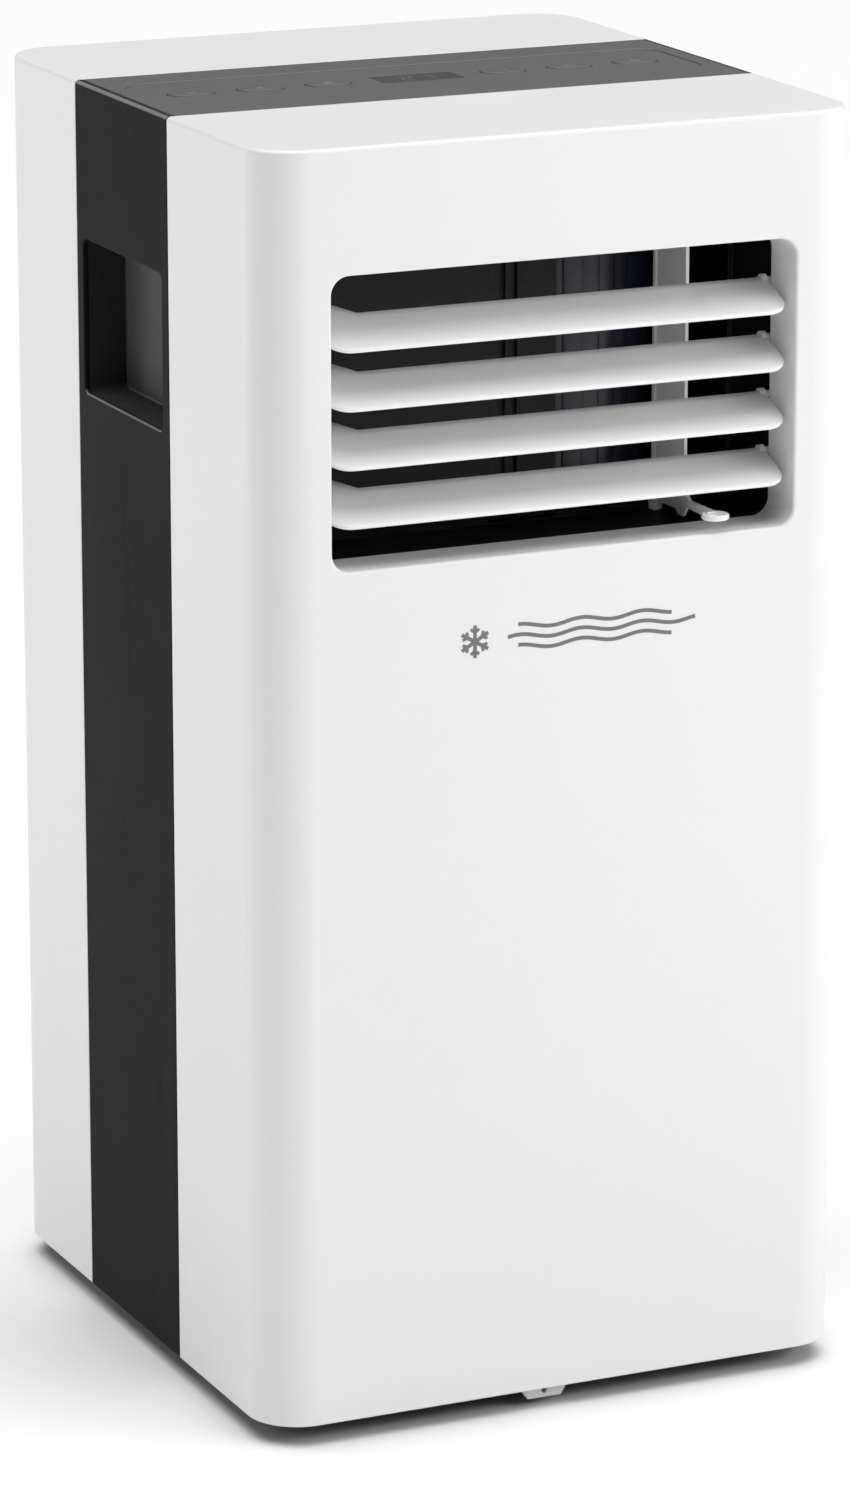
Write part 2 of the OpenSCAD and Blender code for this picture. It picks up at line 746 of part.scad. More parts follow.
module compressor_grommets() {
    color("black") for (a = comp_feet)
        translate([comp_x + comp_feet_r * cos(a), comp_y + comp_feet_r * sin(a), 44])
            cylinder(r = 10, h = 13.4, $fn = 32);
}

module refrigerant_pipes() {
    comp_top = 57.4 + 180 + 14;
    side_x = -half_w + 23;
    front_row = coil_y0 + 9;
    rear_row = coil_y0 + coil_t - 9;
    drier_y = rear_row - 40;
    end_x = -coil_half - 2.2;
    cond_in = cond_z0 + 5.5 * tube_pitch;
    cond_out = cond_z0 + tube_pitch / 2;
    evap_end = evap_z0 + tube_pitch / 2;
    color("peru") {
        pipe_run([[comp_x, comp_y, comp_top + 0.2], [comp_x, comp_y, 300], [side_x, comp_y, 300],
                  [side_x, front_row, 300], [side_x, front_row, cond_in], [end_x, front_row, cond_in]], tube_r);
        pipe_run([[comp_x + comp_r + 25, comp_y, 224.2], [comp_x + comp_r + 25, comp_y, 330],
                  [side_x + 2, comp_y, 330], [side_x + 2, front_row, 330],
                  [side_x + 2, front_row, evap_end], [end_x, front_row, evap_end]], tube_r);
        pipe_run([[end_x, rear_row, cond_out], [side_x + 4, rear_row, cond_out],
                  [side_x + 4, drier_y, cond_out], [side_x + 4, drier_y, 99.8]], 2.5);
        pipe_run([[side_x + 4, drier_y, 176.2], [side_x + 4, drier_y, 370],
                  [side_x + 4, rear_row, 370], [side_x + 4, rear_row, evap_end],
                  [end_x, rear_row, evap_end]], 1.6);
    }
}

module filter_drier() {
    drier_r = 9;
    color("peru") translate([-half_w + 27, coil_y0 + coil_t - 49, 100]) rotate_extrude($fn = 48) {
        square([4, 76]);
        translate([0, 10]) square([drier_r, 56]);
    }
}

module electric_box() {
    low = [40, -172, z0 + 250];
    high = [152, -112, z0 + 370];
    color("lightgray") difference() {
        block(low, high);
        block(low + [2, 2, 2], high - [2, 2, 2]);
    }
}

module run_capacitor() {
    color("gainsboro") translate([134, -142, z0 + 268]) cylinder(r = 14, h = 66, $fn = 48);
}

module main_board() {
    color("green") block([44, -142.8, z0 + 256], [114, -141.2, z0 + 364]);
}

/* ---------- sump ---------- */

module slinger_wheel() {
    y0 = 126;
    color("gainsboro") {
        rod_y(slinger_x, slinger_z, 7, y0, y0 + 12);
        rod_y(slinger_x, slinger_z, 13, y0 + 5, y0 + 7);
        rod_y(slinger_x, slinger_z, 2.5, y0 - 20, y0 + 6);
        translate([slinger_x, y0 + 12, slinger_z]) rotate([90, 0, 0]) linear_extrude(12)
            for (a = [0 : 45 : 359]) rotate(a) translate([5, -0.8]) square([slinger_r - 5, 1.6]);
    }
}

module slinger_motor() {
    color("silver") difference() {
        rod_y(slinger_x, slinger_z, 16, 98, 124);
        rod_y(slinger_x, slinger_z, 2.5 + fit, 104, 125);
    }
}

// Float on its arm, which lifts when the sump fills up
module float_arm() {
    color("orange") {
        rod_x(float_y, float_z, 1.5, float_x - 7, float_x + 7);
        rod_x(float_y, float_z, 3.4, float_x - 3.8, float_x + 3.8);
        block([float_x - 2, float_y - 26, float_z - 1.5], [float_x + 2, float_y, float_z + 1.5]);
        translate([float_x, float_y - 26, float_z - 14]) cylinder(r = 9, h = 16, $fn = 48);
    }
}

/* ---------- rear fittings ---------- */

// Lift-out intake grille: its frame, upright ribs and level slats
module intake_grille(z, slats) {
    frame_t = 6;
    depth = 6;
    y1 = half_d - 0.2;
    w = 2 * grille_half - 2 * gap;
    h = z[1] - z[0] - 2 * gap;
    color(white) {
        difference() {
            translate([0, 0, (z[0] + z[1]) / 2]) upright(y1 - depth, y1) round_rect(w, h, grille_r - gap);
            translate([0, 0, (z[0] + z[1]) / 2]) upright(y1 - depth - 1, y1 + 1)
                square([w - 2 * frame_t, h - 2 * frame_t], center = true);
        }
        for (i = [1 : slats - 1]) {
            slat_z = z[0] + gap + frame_t + i * (h - 2 * frame_t) / slats;
            block([-w / 2 + frame_t - 1, y1 - depth, slat_z - 1], [w / 2 - frame_t + 1, y1 - 0.6, slat_z + 1]);
        }
        for (x = [-w / 4, 0, w / 4])
            block([x - 1.25, y1 - depth, z[0] + gap + 2], [x + 1.25, y1 - depth + 3, z[1] - gap - 2]);
    }
}
module upper_grille() { intake_grille(grille_z, 24); }
module lower_grille() { intake_grille(intake_z, 18); }

// Dust filter in its frame, clipped to the inside of the upper grille
module upper_filter() {
    y1 = half_d - 6.4;
    low = grille_z[0] + 4;
    high = grille_z[1] - 4;
    half = grille_half - 4;
    color("dimgray") {
        difference() {
            block([-half, y1 - 4, low], [half, y1, high]);
            block([-half + 5, y1 - 5, low + 5], [half - 5, y1 + 1, high - 5]);
        }
        block([-half + 4.9, y1 - 2.2, low + 4.9], [half - 4.9, y1 - 1.6, high - 4.9]);
        block([-1.5, y1 - 4, low + 4], [1.5, y1 - 0.4, high - 4]);
    }
}

// Rubber plug with its pull cap
module drain_plug(x, z) {
    color("black") {
        rod_y(x, z, drain_r - fit, half_d - 10, half_d + 1);
        rod_y(x, z, drain_r + 4, half_d + 0.4, half_d + proud);
    }
}
module upper_drain_plug() { drain_plug(drain_x, drain_z); }
module lower_drain_plug() { drain_plug(0, sump_z); }

module cable_gland() {
    color("black") difference() {
        union() {
            rod_y(gland_x, gland_z, 9, half_d - 8, half_d + 1);
            rod_y(gland_x, gland_z, 12, half_d + 0.2, half_d + proud - 1);
            rod_y(gland_x, gland_z, 12, half_d - 8, half_d - wall - 0.2);
        }
        rod_y(gland_x, gland_z, 3.6, half_d - 9, half_d + proud + 1);
    }
}

module case_screws() {
    color("silver") for (x = [-1, 1], z = screw_heights) {
        rod_y(x * screw_x, z, 4.2, half_d - 3.2, half_d - 0.8);
        rod_y(x * screw_x, z, 2, half_d - 20, half_d - 3);
    }
}

front_panel();
rear_housing();
side_panel_left();
side_panel_right();
top_panel();
control_fascia();
display_window();
key_power();
key_mode();
key_fan();
key_down();
key_up();
key_timer();
control_board();
base_pan();
front_tab();
louvre_1();
louvre_2();
louvre_3();
louvre_4();
louvre_link();
air_vane();
outlet_duct();
blower_scroll();
blower_wheel();
blower_motor();
evaporator_fins();
evaporator_tubes();
drip_tray();
condenser_fins();
condenser_tubes();
exhaust_scroll();
exhaust_wheel();
exhaust_motor();
exhaust_collar();
compressor();
compressor_grommets();
refrigerant_pipes();
filter_drier();
electric_box();
run_capacitor();
main_board();
slinger_wheel();
slinger_motor();
float_arm();
castor_fork_fl();
castor_fork_fr();
castor_fork_rl();
castor_fork_rr();
castor_wheel_fl();
castor_wheel_fr();
castor_wheel_rl();
castor_wheel_rr();
upper_grille();
upper_filter();
lower_grille();
upper_drain_plug();
lower_drain_plug();
cable_gland();
case_screws();
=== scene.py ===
"""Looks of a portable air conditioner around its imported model, laid out as an add-on."""

import json
import math

import bmesh
import bpy
from bpy.props import FloatProperty, FloatVectorProperty, IntProperty, PointerProperty
from mathutils import Matrix, Vector


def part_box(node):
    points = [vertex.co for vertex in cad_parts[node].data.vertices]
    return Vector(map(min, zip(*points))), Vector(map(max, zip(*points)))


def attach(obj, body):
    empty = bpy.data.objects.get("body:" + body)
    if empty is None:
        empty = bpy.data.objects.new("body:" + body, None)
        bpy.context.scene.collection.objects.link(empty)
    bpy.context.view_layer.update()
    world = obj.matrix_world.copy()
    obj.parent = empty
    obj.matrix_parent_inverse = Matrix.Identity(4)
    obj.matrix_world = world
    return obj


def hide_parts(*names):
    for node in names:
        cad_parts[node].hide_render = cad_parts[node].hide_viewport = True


bl_info = {
    "name": "Portable air conditioner",
    "version": (1, 0, 0),
    "blender": (4, 5, 0),
    "location": "3D View > Sidebar > Air conditioner",
    "description": "Builds the visible pieces and finishes of a portable air conditioner round its frame",
    "category": "Object",
}

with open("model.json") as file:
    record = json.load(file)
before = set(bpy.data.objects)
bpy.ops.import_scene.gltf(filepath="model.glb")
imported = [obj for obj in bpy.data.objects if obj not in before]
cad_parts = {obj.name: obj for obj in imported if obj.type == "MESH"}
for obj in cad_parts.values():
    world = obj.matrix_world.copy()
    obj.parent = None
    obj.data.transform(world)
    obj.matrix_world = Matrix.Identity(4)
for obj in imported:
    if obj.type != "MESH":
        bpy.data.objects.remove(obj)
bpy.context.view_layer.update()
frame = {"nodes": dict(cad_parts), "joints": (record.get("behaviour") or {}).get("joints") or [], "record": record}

MM = 0.001
BODY = "cabinet"
CORNERS = ("fl", "fr", "rl", "rr")
KEYS = ("power", "mode", "fan", "down", "up", "timer")
JOINTS = {joint["name"]: joint for joint in frame["joints"]}


def low(node):
    """Lowest corner of a frame node."""
    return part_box(node)[0]


def high(node):
    """Highest corner of a frame node."""
    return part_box(node)[1]


def middle(node):
    """Centre of a frame node's box."""
    return (low(node) + high(node)) / 2


def pivot(joint):
    """Point that a hinge turns about."""
    return Vector(JOINTS[joint]["pos_m"])


# ---------------------------------------------------------------- settings


def length(name, default, description):
    """A length in metres that a user may change."""
    return FloatProperty(name=name, description=description, default=default, min=0.0, unit="LENGTH",
                         subtype="DISTANCE", precision=4)


def colour(name, default, description):
    """A colour that a user may change."""
    return FloatVectorProperty(name=name, description=description, default=default, size=3, min=0.0,
                               max=1.0, subtype="COLOR")


def share(name, default, description):
    """A number from 0 to 1 that a user may change."""
    return FloatProperty(name=name, description=description, default=default, min=0.0, max=1.0,
                         subtype="FACTOR")


class CaseSettings(bpy.types.PropertyGroup):
    """Sizes of the moulded case"""

    corner: length("Corner radius", 0.029, "Radius of the four upright corners")
    top_edge: length("Top edge radius", 0.0026, "Radius of the edge round the top")
    wall: length("Wall", 0.003, "Wall thickness of the shells")
    soft_edge: length("Soft edge", 0.0006, "Radius of the shells' cut edges")
    lip: length("Side lip", 0.0046, "Width of the side panels' lips on the top")
    frame_wall: length("Outlet frame", 0.0025, "Wall thickness of the frame inside the outlet")
    vent_corner: length("Outlet corner", 0.010, "Corner radius of the outlet")
    vent_edge: length("Outlet edge", 0.0016, "Radius of the outlet's front edge")
    grip_width: length("Grip width", 0.112, "Width of a grip pocket, front to back")
    grip_height: length("Grip height", 0.085, "Height of a grip pocket")
    grip_low: length("Grip place", 0.5315, "Height of a grip pocket's lower edge above the floor")
    grip_depth: length("Grip depth", 0.026, "Depth of a grip pocket")
    grip_corner: length("Grip corner", 0.0045, "Corner radius of a grip pocket")
    grip_edge: length("Grip edge", 0.0014, "Radius of a grip pocket's outer edge")


class LouvreSettings(bpy.types.PropertyGroup):
    """Sizes of the louvres and the vane"""

    chord: length("Depth", 0.0336, "Width of a louvre from its pivot to its front edge")
    nose: length("Nose", 0.0025, "Thickness of a louvre at its front edge")
    tail: length("Tail", 0.0022, "Thickness of a louvre at its back edge")
    camber: length("Camber", 0.0008, "How far a louvre's middle bulges upwards")
    corner: length("Corner", 0.0125, "Radius of a louvre's front corners")
    crank: length("Crank", 0.010, "Distance from a louvre's pivot to its crank pin")
    tilt: FloatProperty(name="Tilt", description="Tilt of the louvres at rest, front edge down",
                        default=math.radians(20.5), subtype="ANGLE")
    ring: length("Finger ring", 0.015, "Outer diameter of the vane's finger ring")
    ring_hole: length("Ring hole", 0.0068, "Diameter of the hole in the finger ring")


class GrilleSettings(bpy.types.PropertyGroup):
    """Numbers and sizes of what repeats in the grilles, coils and blower wheels"""

    upper_slats: IntProperty(name="Upper slats", description="Slats in the upper grille", default=23, min=4)
    lower_slats: IntProperty(name="Lower slats", description="Slats in the lower grille", default=17, min=4)
    fin_pitch: length("Fin pitch", 0.0032, "Distance between two fins of a coil")
    fin: length("Fin", 0.0004, "Thickness of a fin")
    blower_blades: IntProperty(name="Blower blades", description="Blades in the upper wheel", default=40,
                               min=8)
    exhaust_blades: IntProperty(name="Exhaust blades", description="Blades in the lower wheel", default=34,
                                min=8)


class FinishSettings(bpy.types.PropertyGroup):
    """Colours and gloss of the finishes"""

    white: colour("White", (0.825, 0.825, 0.828), "Colour of the white shells")
    black: colour("Black", (0.0045, 0.0045, 0.0047), "Colour of the side band")
    grey: colour("Grey", (0.110, 0.110, 0.112), "Colour of the top panel")
    mark: colour("Mark", (0.16, 0.16, 0.165), "Colour of the printed mark")
    gloss: share("Roughness", 0.42, "Roughness of the white shells")


class StageSettings(bpy.types.PropertyGroup):
    """Camera and light"""

    azimuth: FloatProperty(name="Azimuth", description="Camera's angle to the left of the front",
                           default=math.radians(-24.44), subtype="ANGLE")
    pitch: FloatProperty(name="Height angle", description="Camera's angle above the horizon",
                         default=math.radians(15.29), subtype="ANGLE")
    distance: length("Distance", 3.526, "Distance from the camera to its target")
    focal: FloatProperty(name="Focal length", description="Focal length of the camera, in millimetres",
                         default=151.8, min=20.0)
    target: FloatVectorProperty(name="Target", description="Point that the camera looks at",
                                default=(0.0028, 0.0, 0.3242), size=3, subtype="TRANSLATION")
    key: FloatProperty(name="Front light", description="Power of the front light", default=19.0, min=0.0,
                       unit="POWER")
    side: FloatProperty(name="Side light", description="Power of the left light", default=12.5, min=0.0,
                        unit="POWER")
    high: FloatProperty(name="High light", description="Power of the light high in front", default=9.0,
                        min=0.0, unit="POWER")
    overhead: FloatProperty(name="Overhead light", description="Strength of the light from above",
                            default=3.15, min=0.0)
    sky: share("Sky", 0.08, "Strength of the light from all round")


# ---------------------------------------------------------------- shader maths


class Value:
    """A node socket that takes part in Python arithmetic; each operation adds its Math node."""

    def __init__(self, shader, socket):
        self.shader = shader
        self.socket = socket

    def maths(self, operation, first, second=None):
        """Adds a Math node with one or two inputs."""
        inputs = {0: first} if second is None else {0: first, 1: second}
        return self.shader.node("ShaderNodeMath", {"operation": operation}, inputs)

    def __add__(self, other):
        return self.maths("ADD", self, other)

    __radd__ = __add__

    def __sub__(self, other):
        return self.maths("SUBTRACT", self, other)

    def __rsub__(self, other):
        return self.maths("SUBTRACT", other, self)

    def __mul__(self, other):
        return self.maths("MULTIPLY", self, other)

    __rmul__ = __mul__

    def __gt__(self, other):
        return self.maths("GREATER_THAN", self, other)

    def __lt__(self, other):
        return self.maths("LESS_THAN", self, other)

    def wave(self, period, phase=0.0):
        """Runs from -1 to 1 and back once in each period."""
        return self.maths("SINE", (self + phase) * (2 * math.pi / period))

    def size(self):
        """The value without its sign."""
        return self.maths("ABSOLUTE", self)

    def clamp(self, smallest=0.0, largest=1.0):
        """The value held between two limits."""
        return self.shader.node("ShaderNodeClamp", {}, {0: self, 1: smallest, 2: largest})


class Finish:
    """One material: its Principled shader, and the nodes that vary it over the surface."""

    def __init__(self, name, base, **constants):
        self.material = bpy.data.materials.new(name)
        self.material.use_nodes = True
        self.tree = self.material.node_tree
        self.shader = next(n for n in self.tree.nodes if n.type == "BSDF_PRINCIPLED")
        self.base = (*base, 1.0)
        self.material.diffuse_color = self.base
        self.shader.inputs["Base Color"].default_value = self.base
        for key, value in constants.items():
            self.shader.inputs[key.replace("_", " ").title().replace("Ior", "IOR")].default_value = value
        self.where = self.node("ShaderNodeTexCoord", {}, {}, "Object")

    def node(self, kind, settings, inputs, output=0):
        """Adds one node: its settings first, then its sockets' values or links."""
        fresh = self.tree.nodes.new(kind)
        for key, value in settings.items():
            if key == "stops":
                for stop, (place, tone) in zip(self.ramp_stops(fresh, len(value)), value):
                    stop.position = place
                    stop.color = (*tone, 1.0) if hasattr(tone, "__len__") else (tone, tone, tone, 1.0)
            else:
                setattr(fresh, key, value)
        for key, value in inputs.items():
            if isinstance(value, Value):
                self.tree.links.new(value.socket, fresh.inputs[key])
            else:
                fresh.inputs[key].default_value = value
        return Value(self, fresh.outputs[output])

    @staticmethod
    def ramp_stops(ramp, count):
        """The stops of a colour ramp, made up to a number."""
        elements = ramp.color_ramp.elements
        while len(elements) < count:
            elements.new(1.0)
        return elements

    def axis(self, letter, place=None):
        """One coordinate of a place."""
        return self.node("ShaderNodeSeparateXYZ", {}, {0: place or self.where}, letter)

    def stretched(self, x, y, z):
        """Object coordinates, each multiplied by its own factor."""
        return self.node("ShaderNodeVectorMath", {"operation": "MULTIPLY"}, {0: self.where, 1: (x, y, z)})

    def noise(self, grain, detail=2.0, place=None, rough=0.5):
        """Cloudy noise from 0 to 1 whose lumps are about `grain` metres across."""
        inputs = {"Vector": place or self.where, "Scale": 1 / grain, "Detail": detail, "Roughness": rough}
        return self.node("ShaderNodeTexNoise", {}, inputs)

    def cells(self, grain, feature="F1"):
        """Distance to the nearest of scattered points about `grain` metres apart."""
        inputs = {"Vector": self.where, "Scale": 1 / grain}
        return self.node("ShaderNodeTexVoronoi", {"feature": feature}, inputs, "Distance")

    def ramp(self, value, *stops):
        """Maps a value to a colour or a number through stops of (place, tone)."""
        return self.node("ShaderNodeValToRGB", {"stops": stops}, {0: value})

    def mix(self, factor, first, second):
        """Blends two colours."""
        pair = {6: self.opaque(first), 7: self.opaque(second), 0: factor}
        return self.node("ShaderNodeMix", {"data_type": "RGBA"}, pair, 2)

    @staticmethod
    def opaque(tone):
        """A colour as a colour socket takes it."""
        return tone if isinstance(tone, Value) else (*tone[:3], 1.0)

    def colour(self, value):
        """Links the base colour."""
        self.tree.links.new(value.socket, self.shader.inputs["Base Color"])

    def roughness(self, value):
        """Links the roughness."""
        self.tree.links.new(value.socket, self.shader.inputs["Roughness"])

    def bump(self, height, depth, strength=1.0):
        """Raises the surface by `height` times `depth` metres."""
        inputs = {"Height": height, "Distance": depth, "Strength": strength}
        normal = self.node("ShaderNodeBump", {}, inputs)
        self.tree.links.new(normal.socket, self.shader.inputs["Normal"])


def tint(tone, factor):
    """A colour made lighter or darker."""
    return tuple(min(1.0, part * factor) for part in tone)


def moulded(name, base, roughness, grain=0.0006, depth=0.00002, drift=0.03, dust=0.0, pocket_painted_light=None,
            painted_edge_highlight=None, **constants):
    """Moulded plastic: spark-eroded grain, slow drift of tone and gloss, faint scuffs and settled dust.

    The tone given for the grip pockets is painted light on their floors, and a hint of it on their walls;
    the tone given for the edges that face up and outwards is a painted highlight.
    """
    finish = Finish(name, base, roughness=roughness, **constants)
    patch = finish.noise(0.11, 3)
    fleck = finish.noise(0.0035, 3)
    scuff = finish.noise(0.02, 5, finish.stretched(1.0, 1.0, 0.09), 0.65)
    scuffs = finish.ramp(scuff, (0.60, 0.0), (0.78, 1.0))
    tone = finish.mix(patch, tint(base, 1 - drift), tint(base, 1 + drift))
    tone = finish.mix(fleck * 0.25, tone, tint(base, 1 - 2 * drift))
    # Painted light: the grip pockets' floors and walls get a lighter tone where light would fall into them.
    if pocket_painted_light:
        outward = finish.axis("X").size()
        pocket_floor = HALF_W - bpy.context.scene.aircon_case.grip_depth
        tone = finish.mix(outward < HALF_W - 3 * MM, tone, tint(pocket_painted_light, 0.22))
        tone = finish.mix(outward < pocket_floor + 1.5 * MM, tone, pocket_painted_light)
    normal = finish.node("ShaderNodeNewGeometry", {}, {}, "Normal")
    upward = finish.axis("Z", normal)
    # Painted highlight: edges that face up and outwards get a lighter tone, as if catching the light.
    if painted_edge_highlight:
        edge = finish.ramp(upward * finish.axis("X", normal).size(), (0.22, 0.0), (0.42, 1.0))
        tone = finish.mix(edge, tone, painted_edge_highlight)
    if dust:
        settled = (upward - 0.35).clamp() * finish.noise(0.006, 4) * dust
        tone = finish.mix(settled, tone, (0.52, 0.50, 0.47))
    finish.colour(tone)
    finish.roughness((patch - 0.5) * 0.10 + (fleck - 0.5) * 0.06 + scuffs * 0.07 + roughness)
    finish.bump(finish.noise(grain, 2) + finish.noise(grain * 4, 1) * 0.5, depth)
    return finish.material


def pressed_metal(name, base, roughness, brush=(0.0, 0.0, 1.0), stain=(0.20, 0.19, 0.17), **constants):
    """Sheet or turned metal: fine drawn lines, cloudy oxide and small stains."""
    finish = Finish(name, base, roughness=roughness, metallic=1.0, **constants)
    squeeze = [1 - 0.97 * part for part in brush]
    lines = finish.noise(0.0012, 4, finish.stretched(*squeeze), 0.6)
    cloud = finish.noise(0.02, 4)
    spots = finish.ramp(finish.noise(0.006, 5, rough=0.7), (0.62, 0.0), (0.75, 1.0))
    finish.colour(finish.mix(spots * 0.5 + cloud * 0.15, finish.mix(lines, tint(base, 0.9), base), stain))
    finish.roughness((lines - 0.5) * 0.2 + cloud * 0.1 + spots * 0.2 + roughness)
    finish.bump(lines, 0.00002)
    return finish.material


def enamel(name, base, roughness):
    """Sprayed enamel: orange peel, with chips of primer."""
    finish = Finish(name, base, roughness=roughness, coat_weight=0.4)
    peel = finish.noise(0.003, 2)
    chips = finish.ramp(finish.noise(0.011, 6, rough=0.7), (0.70, 0.0), (0.73, 1.0))
    paint = finish.mix(finish.noise(0.05), tint(base, 0.8), tint(base, 1.3))
    finish.colour(finish.mix(chips, paint, (0.25, 0.2, 0.17)))
    finish.roughness(chips * 0.35 + peel * 0.12 + roughness)
    finish.bump(peel - chips * 0.4, 0.0001)
    return finish.material


def rubber(name, base, **constants):
    """Moulded rubber: matt, with bloom and a fine open grain."""
    finish = Finish(name, base, roughness=0.72, **constants)
    bloom = finish.noise(0.008, 4)
    finish.colour(finish.mix(bloom, tint(base, 0.7), tint(base, 1.8)))
    finish.roughness(bloom * 0.2 + 0.62)
    finish.bump(finish.cells(0.0009), 0.00006)
    return finish.material


def fin_stack(name, base, pitch):
    """Edges of a stack of thin fins: each fin its own shade, a few of them bent."""
    finish = Finish(name, base, roughness=0.38, metallic=0.85)
    across = finish.axis("X")
    single = finish.noise(pitch, 0, finish.stretched(1.0, 0.0, 0.0))
    bent = finish.ramp(finish.noise(0.012, 3), (0.62, 0.0), (0.72, 1.0))
    finish.colour(finish.mix(single * 0.8 + bent * 0.2, tint(base, 0.62), base))
    finish.roughness(single * 0.2 + bent * 0.2 + 0.26)
    finish.bump(across.wave(pitch) + bent * 0.5, 0.0001)
    return finish.material


def circuit(name, base):
    """Lacquered board: a grid of copper tracks under green lacquer, with solder spots."""
    finish = Finish(name, base, roughness=0.35, coat_weight=0.5)
    tracks = (finish.axis("X").wave(0.004) > 0.8) + (finish.axis("Z").wave(0.005) > 0.85)
    spots = finish.ramp(finish.cells(0.007), (0.10, 1.0), (0.13, 0.0))
    finish.colour(finish.mix(spots, finish.mix(tracks.clamp(), base, tint(base, 2.2)), (0.6, 0.6, 0.58)))
    finish.roughness(0.42 - spots * 0.15)
    finish.bump(tracks.clamp() + spots, 0.00005)
    return finish.material


def mesh_cloth(name, base, pitch=0.0014):
    """Woven nylon gauze, with lint caught between the threads."""
    finish = Finish(name, base, roughness=0.8)
    warp = finish.axis("X").wave(pitch)
    weft = finish.axis("Z").wave(pitch)
    threads = warp.maths("MAXIMUM", warp.size(), weft.size())
    lint = finish.ramp(finish.noise(0.014, 5, rough=0.65), (0.55, 0.0), (0.8, 1.0))
    tone = finish.mix(threads, tint(base, 0.25), tint(base, 1.5))
    finish.colour(finish.mix(lint * 0.35, tone, (0.36, 0.34, 0.31)))
    finish.roughness(lint * 0.1 + 0.75)
    finish.bump(threads + lint * 0.6, 0.0002)
    return finish.material


def ink(name, base):
    """Screen-printed ink, a little uneven at its edges."""
    finish = Finish(name, base, roughness=0.45)
    wear = finish.noise(0.003, 4)
    finish.colour(finish.mix(wear, tint(base, 0.85), tint(base, 1.15)))
    finish.roughness(wear * 0.15 + 0.38)
    finish.bump(finish.noise(0.0007), 0.00001)
    return finish.material


def smoked(name, base):
    """Smoked acrylic window: dark satin with hair scratches."""
    finish = Finish(name, base, roughness=0.3, specular_ior_level=0.35)
    scratch = finish.noise(0.004, 6, finish.stretched(0.05, 1.0, 1.0), 0.7)
    finish.colour(finish.mix(scratch * 0.3, base, tint(base, 1.8)))
    finish.roughness(finish.ramp(scratch, (0.55, 0.28), (0.75, 0.40)))
    finish.bump(scratch, 0.000005)
    return finish.material


def studio_floor(name):
    """Seamless pale paper with a faint tooth."""
    finish = Finish(name, (0.94, 0.94, 0.94), roughness=0.7)
    tooth = finish.noise(0.004, 4)
    finish.colour(finish.mix(tooth, (0.935, 0.935, 0.935), (0.95, 0.95, 0.95)))
    finish.roughness(tooth * 0.1 + 0.65)
    finish.bump(tooth, 0.00005)
    return finish.material


FINISHES = {}


def finishes():
    """All finishes by name, made once from the settings."""
    if FINISHES:
        return FINISHES
    look = bpy.context.scene.aircon_finish
    white, black, grey = tuple(look.white), tuple(look.black), tuple(look.grey)
    FINISHES.update({
        "white_shell": moulded("white shell", white, look.gloss, drift=0.012, dust=0.05, coat_weight=0.08),
        # Painted light: the louvres' and vane's white is the shell's white made lighter, standing in for light on
        # their shaded backs.
        "white_blade": moulded("white blade painted lighter", tint(white, 1.07), 0.40, drift=0.012, coat_weight=0.2),
        # Painted highlight: the lighter tone on the black shell's edges that face up and outwards.
        # Painted light: the lighter tone inside the black shell's grip pockets.
        "black_shell": moulded("black shell", black, 0.60, drift=0.10, dust=0.10, depth=0.00003,
                               pocket_painted_light=(0.105, 0.105, 0.106), painted_edge_highlight=(0.20, 0.20, 0.20),
                               specular_ior_level=0.08),
        "grey_top": moulded("grey top", grey, 0.46, drift=0.05, dust=0.12, depth=0.00003),
        "black_inner": moulded("black inner", (0.006, 0.006, 0.0064), 0.5, drift=0.15, dust=0.03,
                               specular_ior_level=0.25),
        "grey_plastic": moulded("grey plastic", (0.22, 0.22, 0.23), 0.48, drift=0.06),
        "wheel_plastic": moulded("wheel plastic", (0.014, 0.017, 0.030), 0.30, drift=0.12, dust=0.05),
        "tray_plastic": moulded("tray plastic", (0.62, 0.62, 0.61), 0.5, drift=0.05, dust=0.1),
        "key_plastic": moulded("key plastic", tint(grey, 1.1), 0.46, drift=0.04),
        "float_foam": moulded("float foam", (0.75, 0.33, 0.06), 0.6, grain=0.0012, depth=0.0001),
        "rubber": rubber("rubber", (0.022, 0.022, 0.022)),
        "castor_tread": rubber("castor tread", (0.06, 0.06, 0.063)),
        "fin_aluminium": fin_stack("blue fins", (0.50, 0.62, 0.80), 0.0032),
        "bare_aluminium": fin_stack("bare fins", (0.78, 0.79, 0.80), 0.0032),
        "copper": pressed_metal("copper", (0.80, 0.42, 0.27), 0.26, stain=(0.20, 0.10, 0.06)),
        "motor_steel": pressed_metal("motor steel", (0.62, 0.63, 0.64), 0.32),
        "screw_steel": pressed_metal("screw steel", (0.55, 0.55, 0.56), 0.28, (1.0, 0.0, 0.0)),
        "compressor_paint": enamel("compressor paint", (0.018, 0.018, 0.019), 0.28),
        "circuit_board": circuit("circuit board", (0.02, 0.15, 0.05)),
        "filter_mesh": mesh_cloth("filter mesh", (0.05, 0.05, 0.055)),
        "smoked_window": smoked("smoked window", (0.075, 0.075, 0.078)),
        "print": ink("printed mark", tuple(look.mark)),
        "icon": ink("key print", (0.30, 0.30, 0.30)),
        "lamp": ink("unlit segments", (0.15, 0.155, 0.155)),
    })
    return FINISHES


# ---------------------------------------------------------------- mesh building


def made(name, shape):
    """Turns a bmesh into an object of the scene."""
    mesh = bpy.data.meshes.new(name)
    shape.to_mesh(mesh)
    shape.free()
    piece = bpy.data.objects.new(name, mesh)
    bpy.context.scene.collection.objects.link(piece)
    return piece


def discard(*pieces):
    """Removes helper objects."""
    for piece in pieces:
        bpy.data.objects.remove(piece)


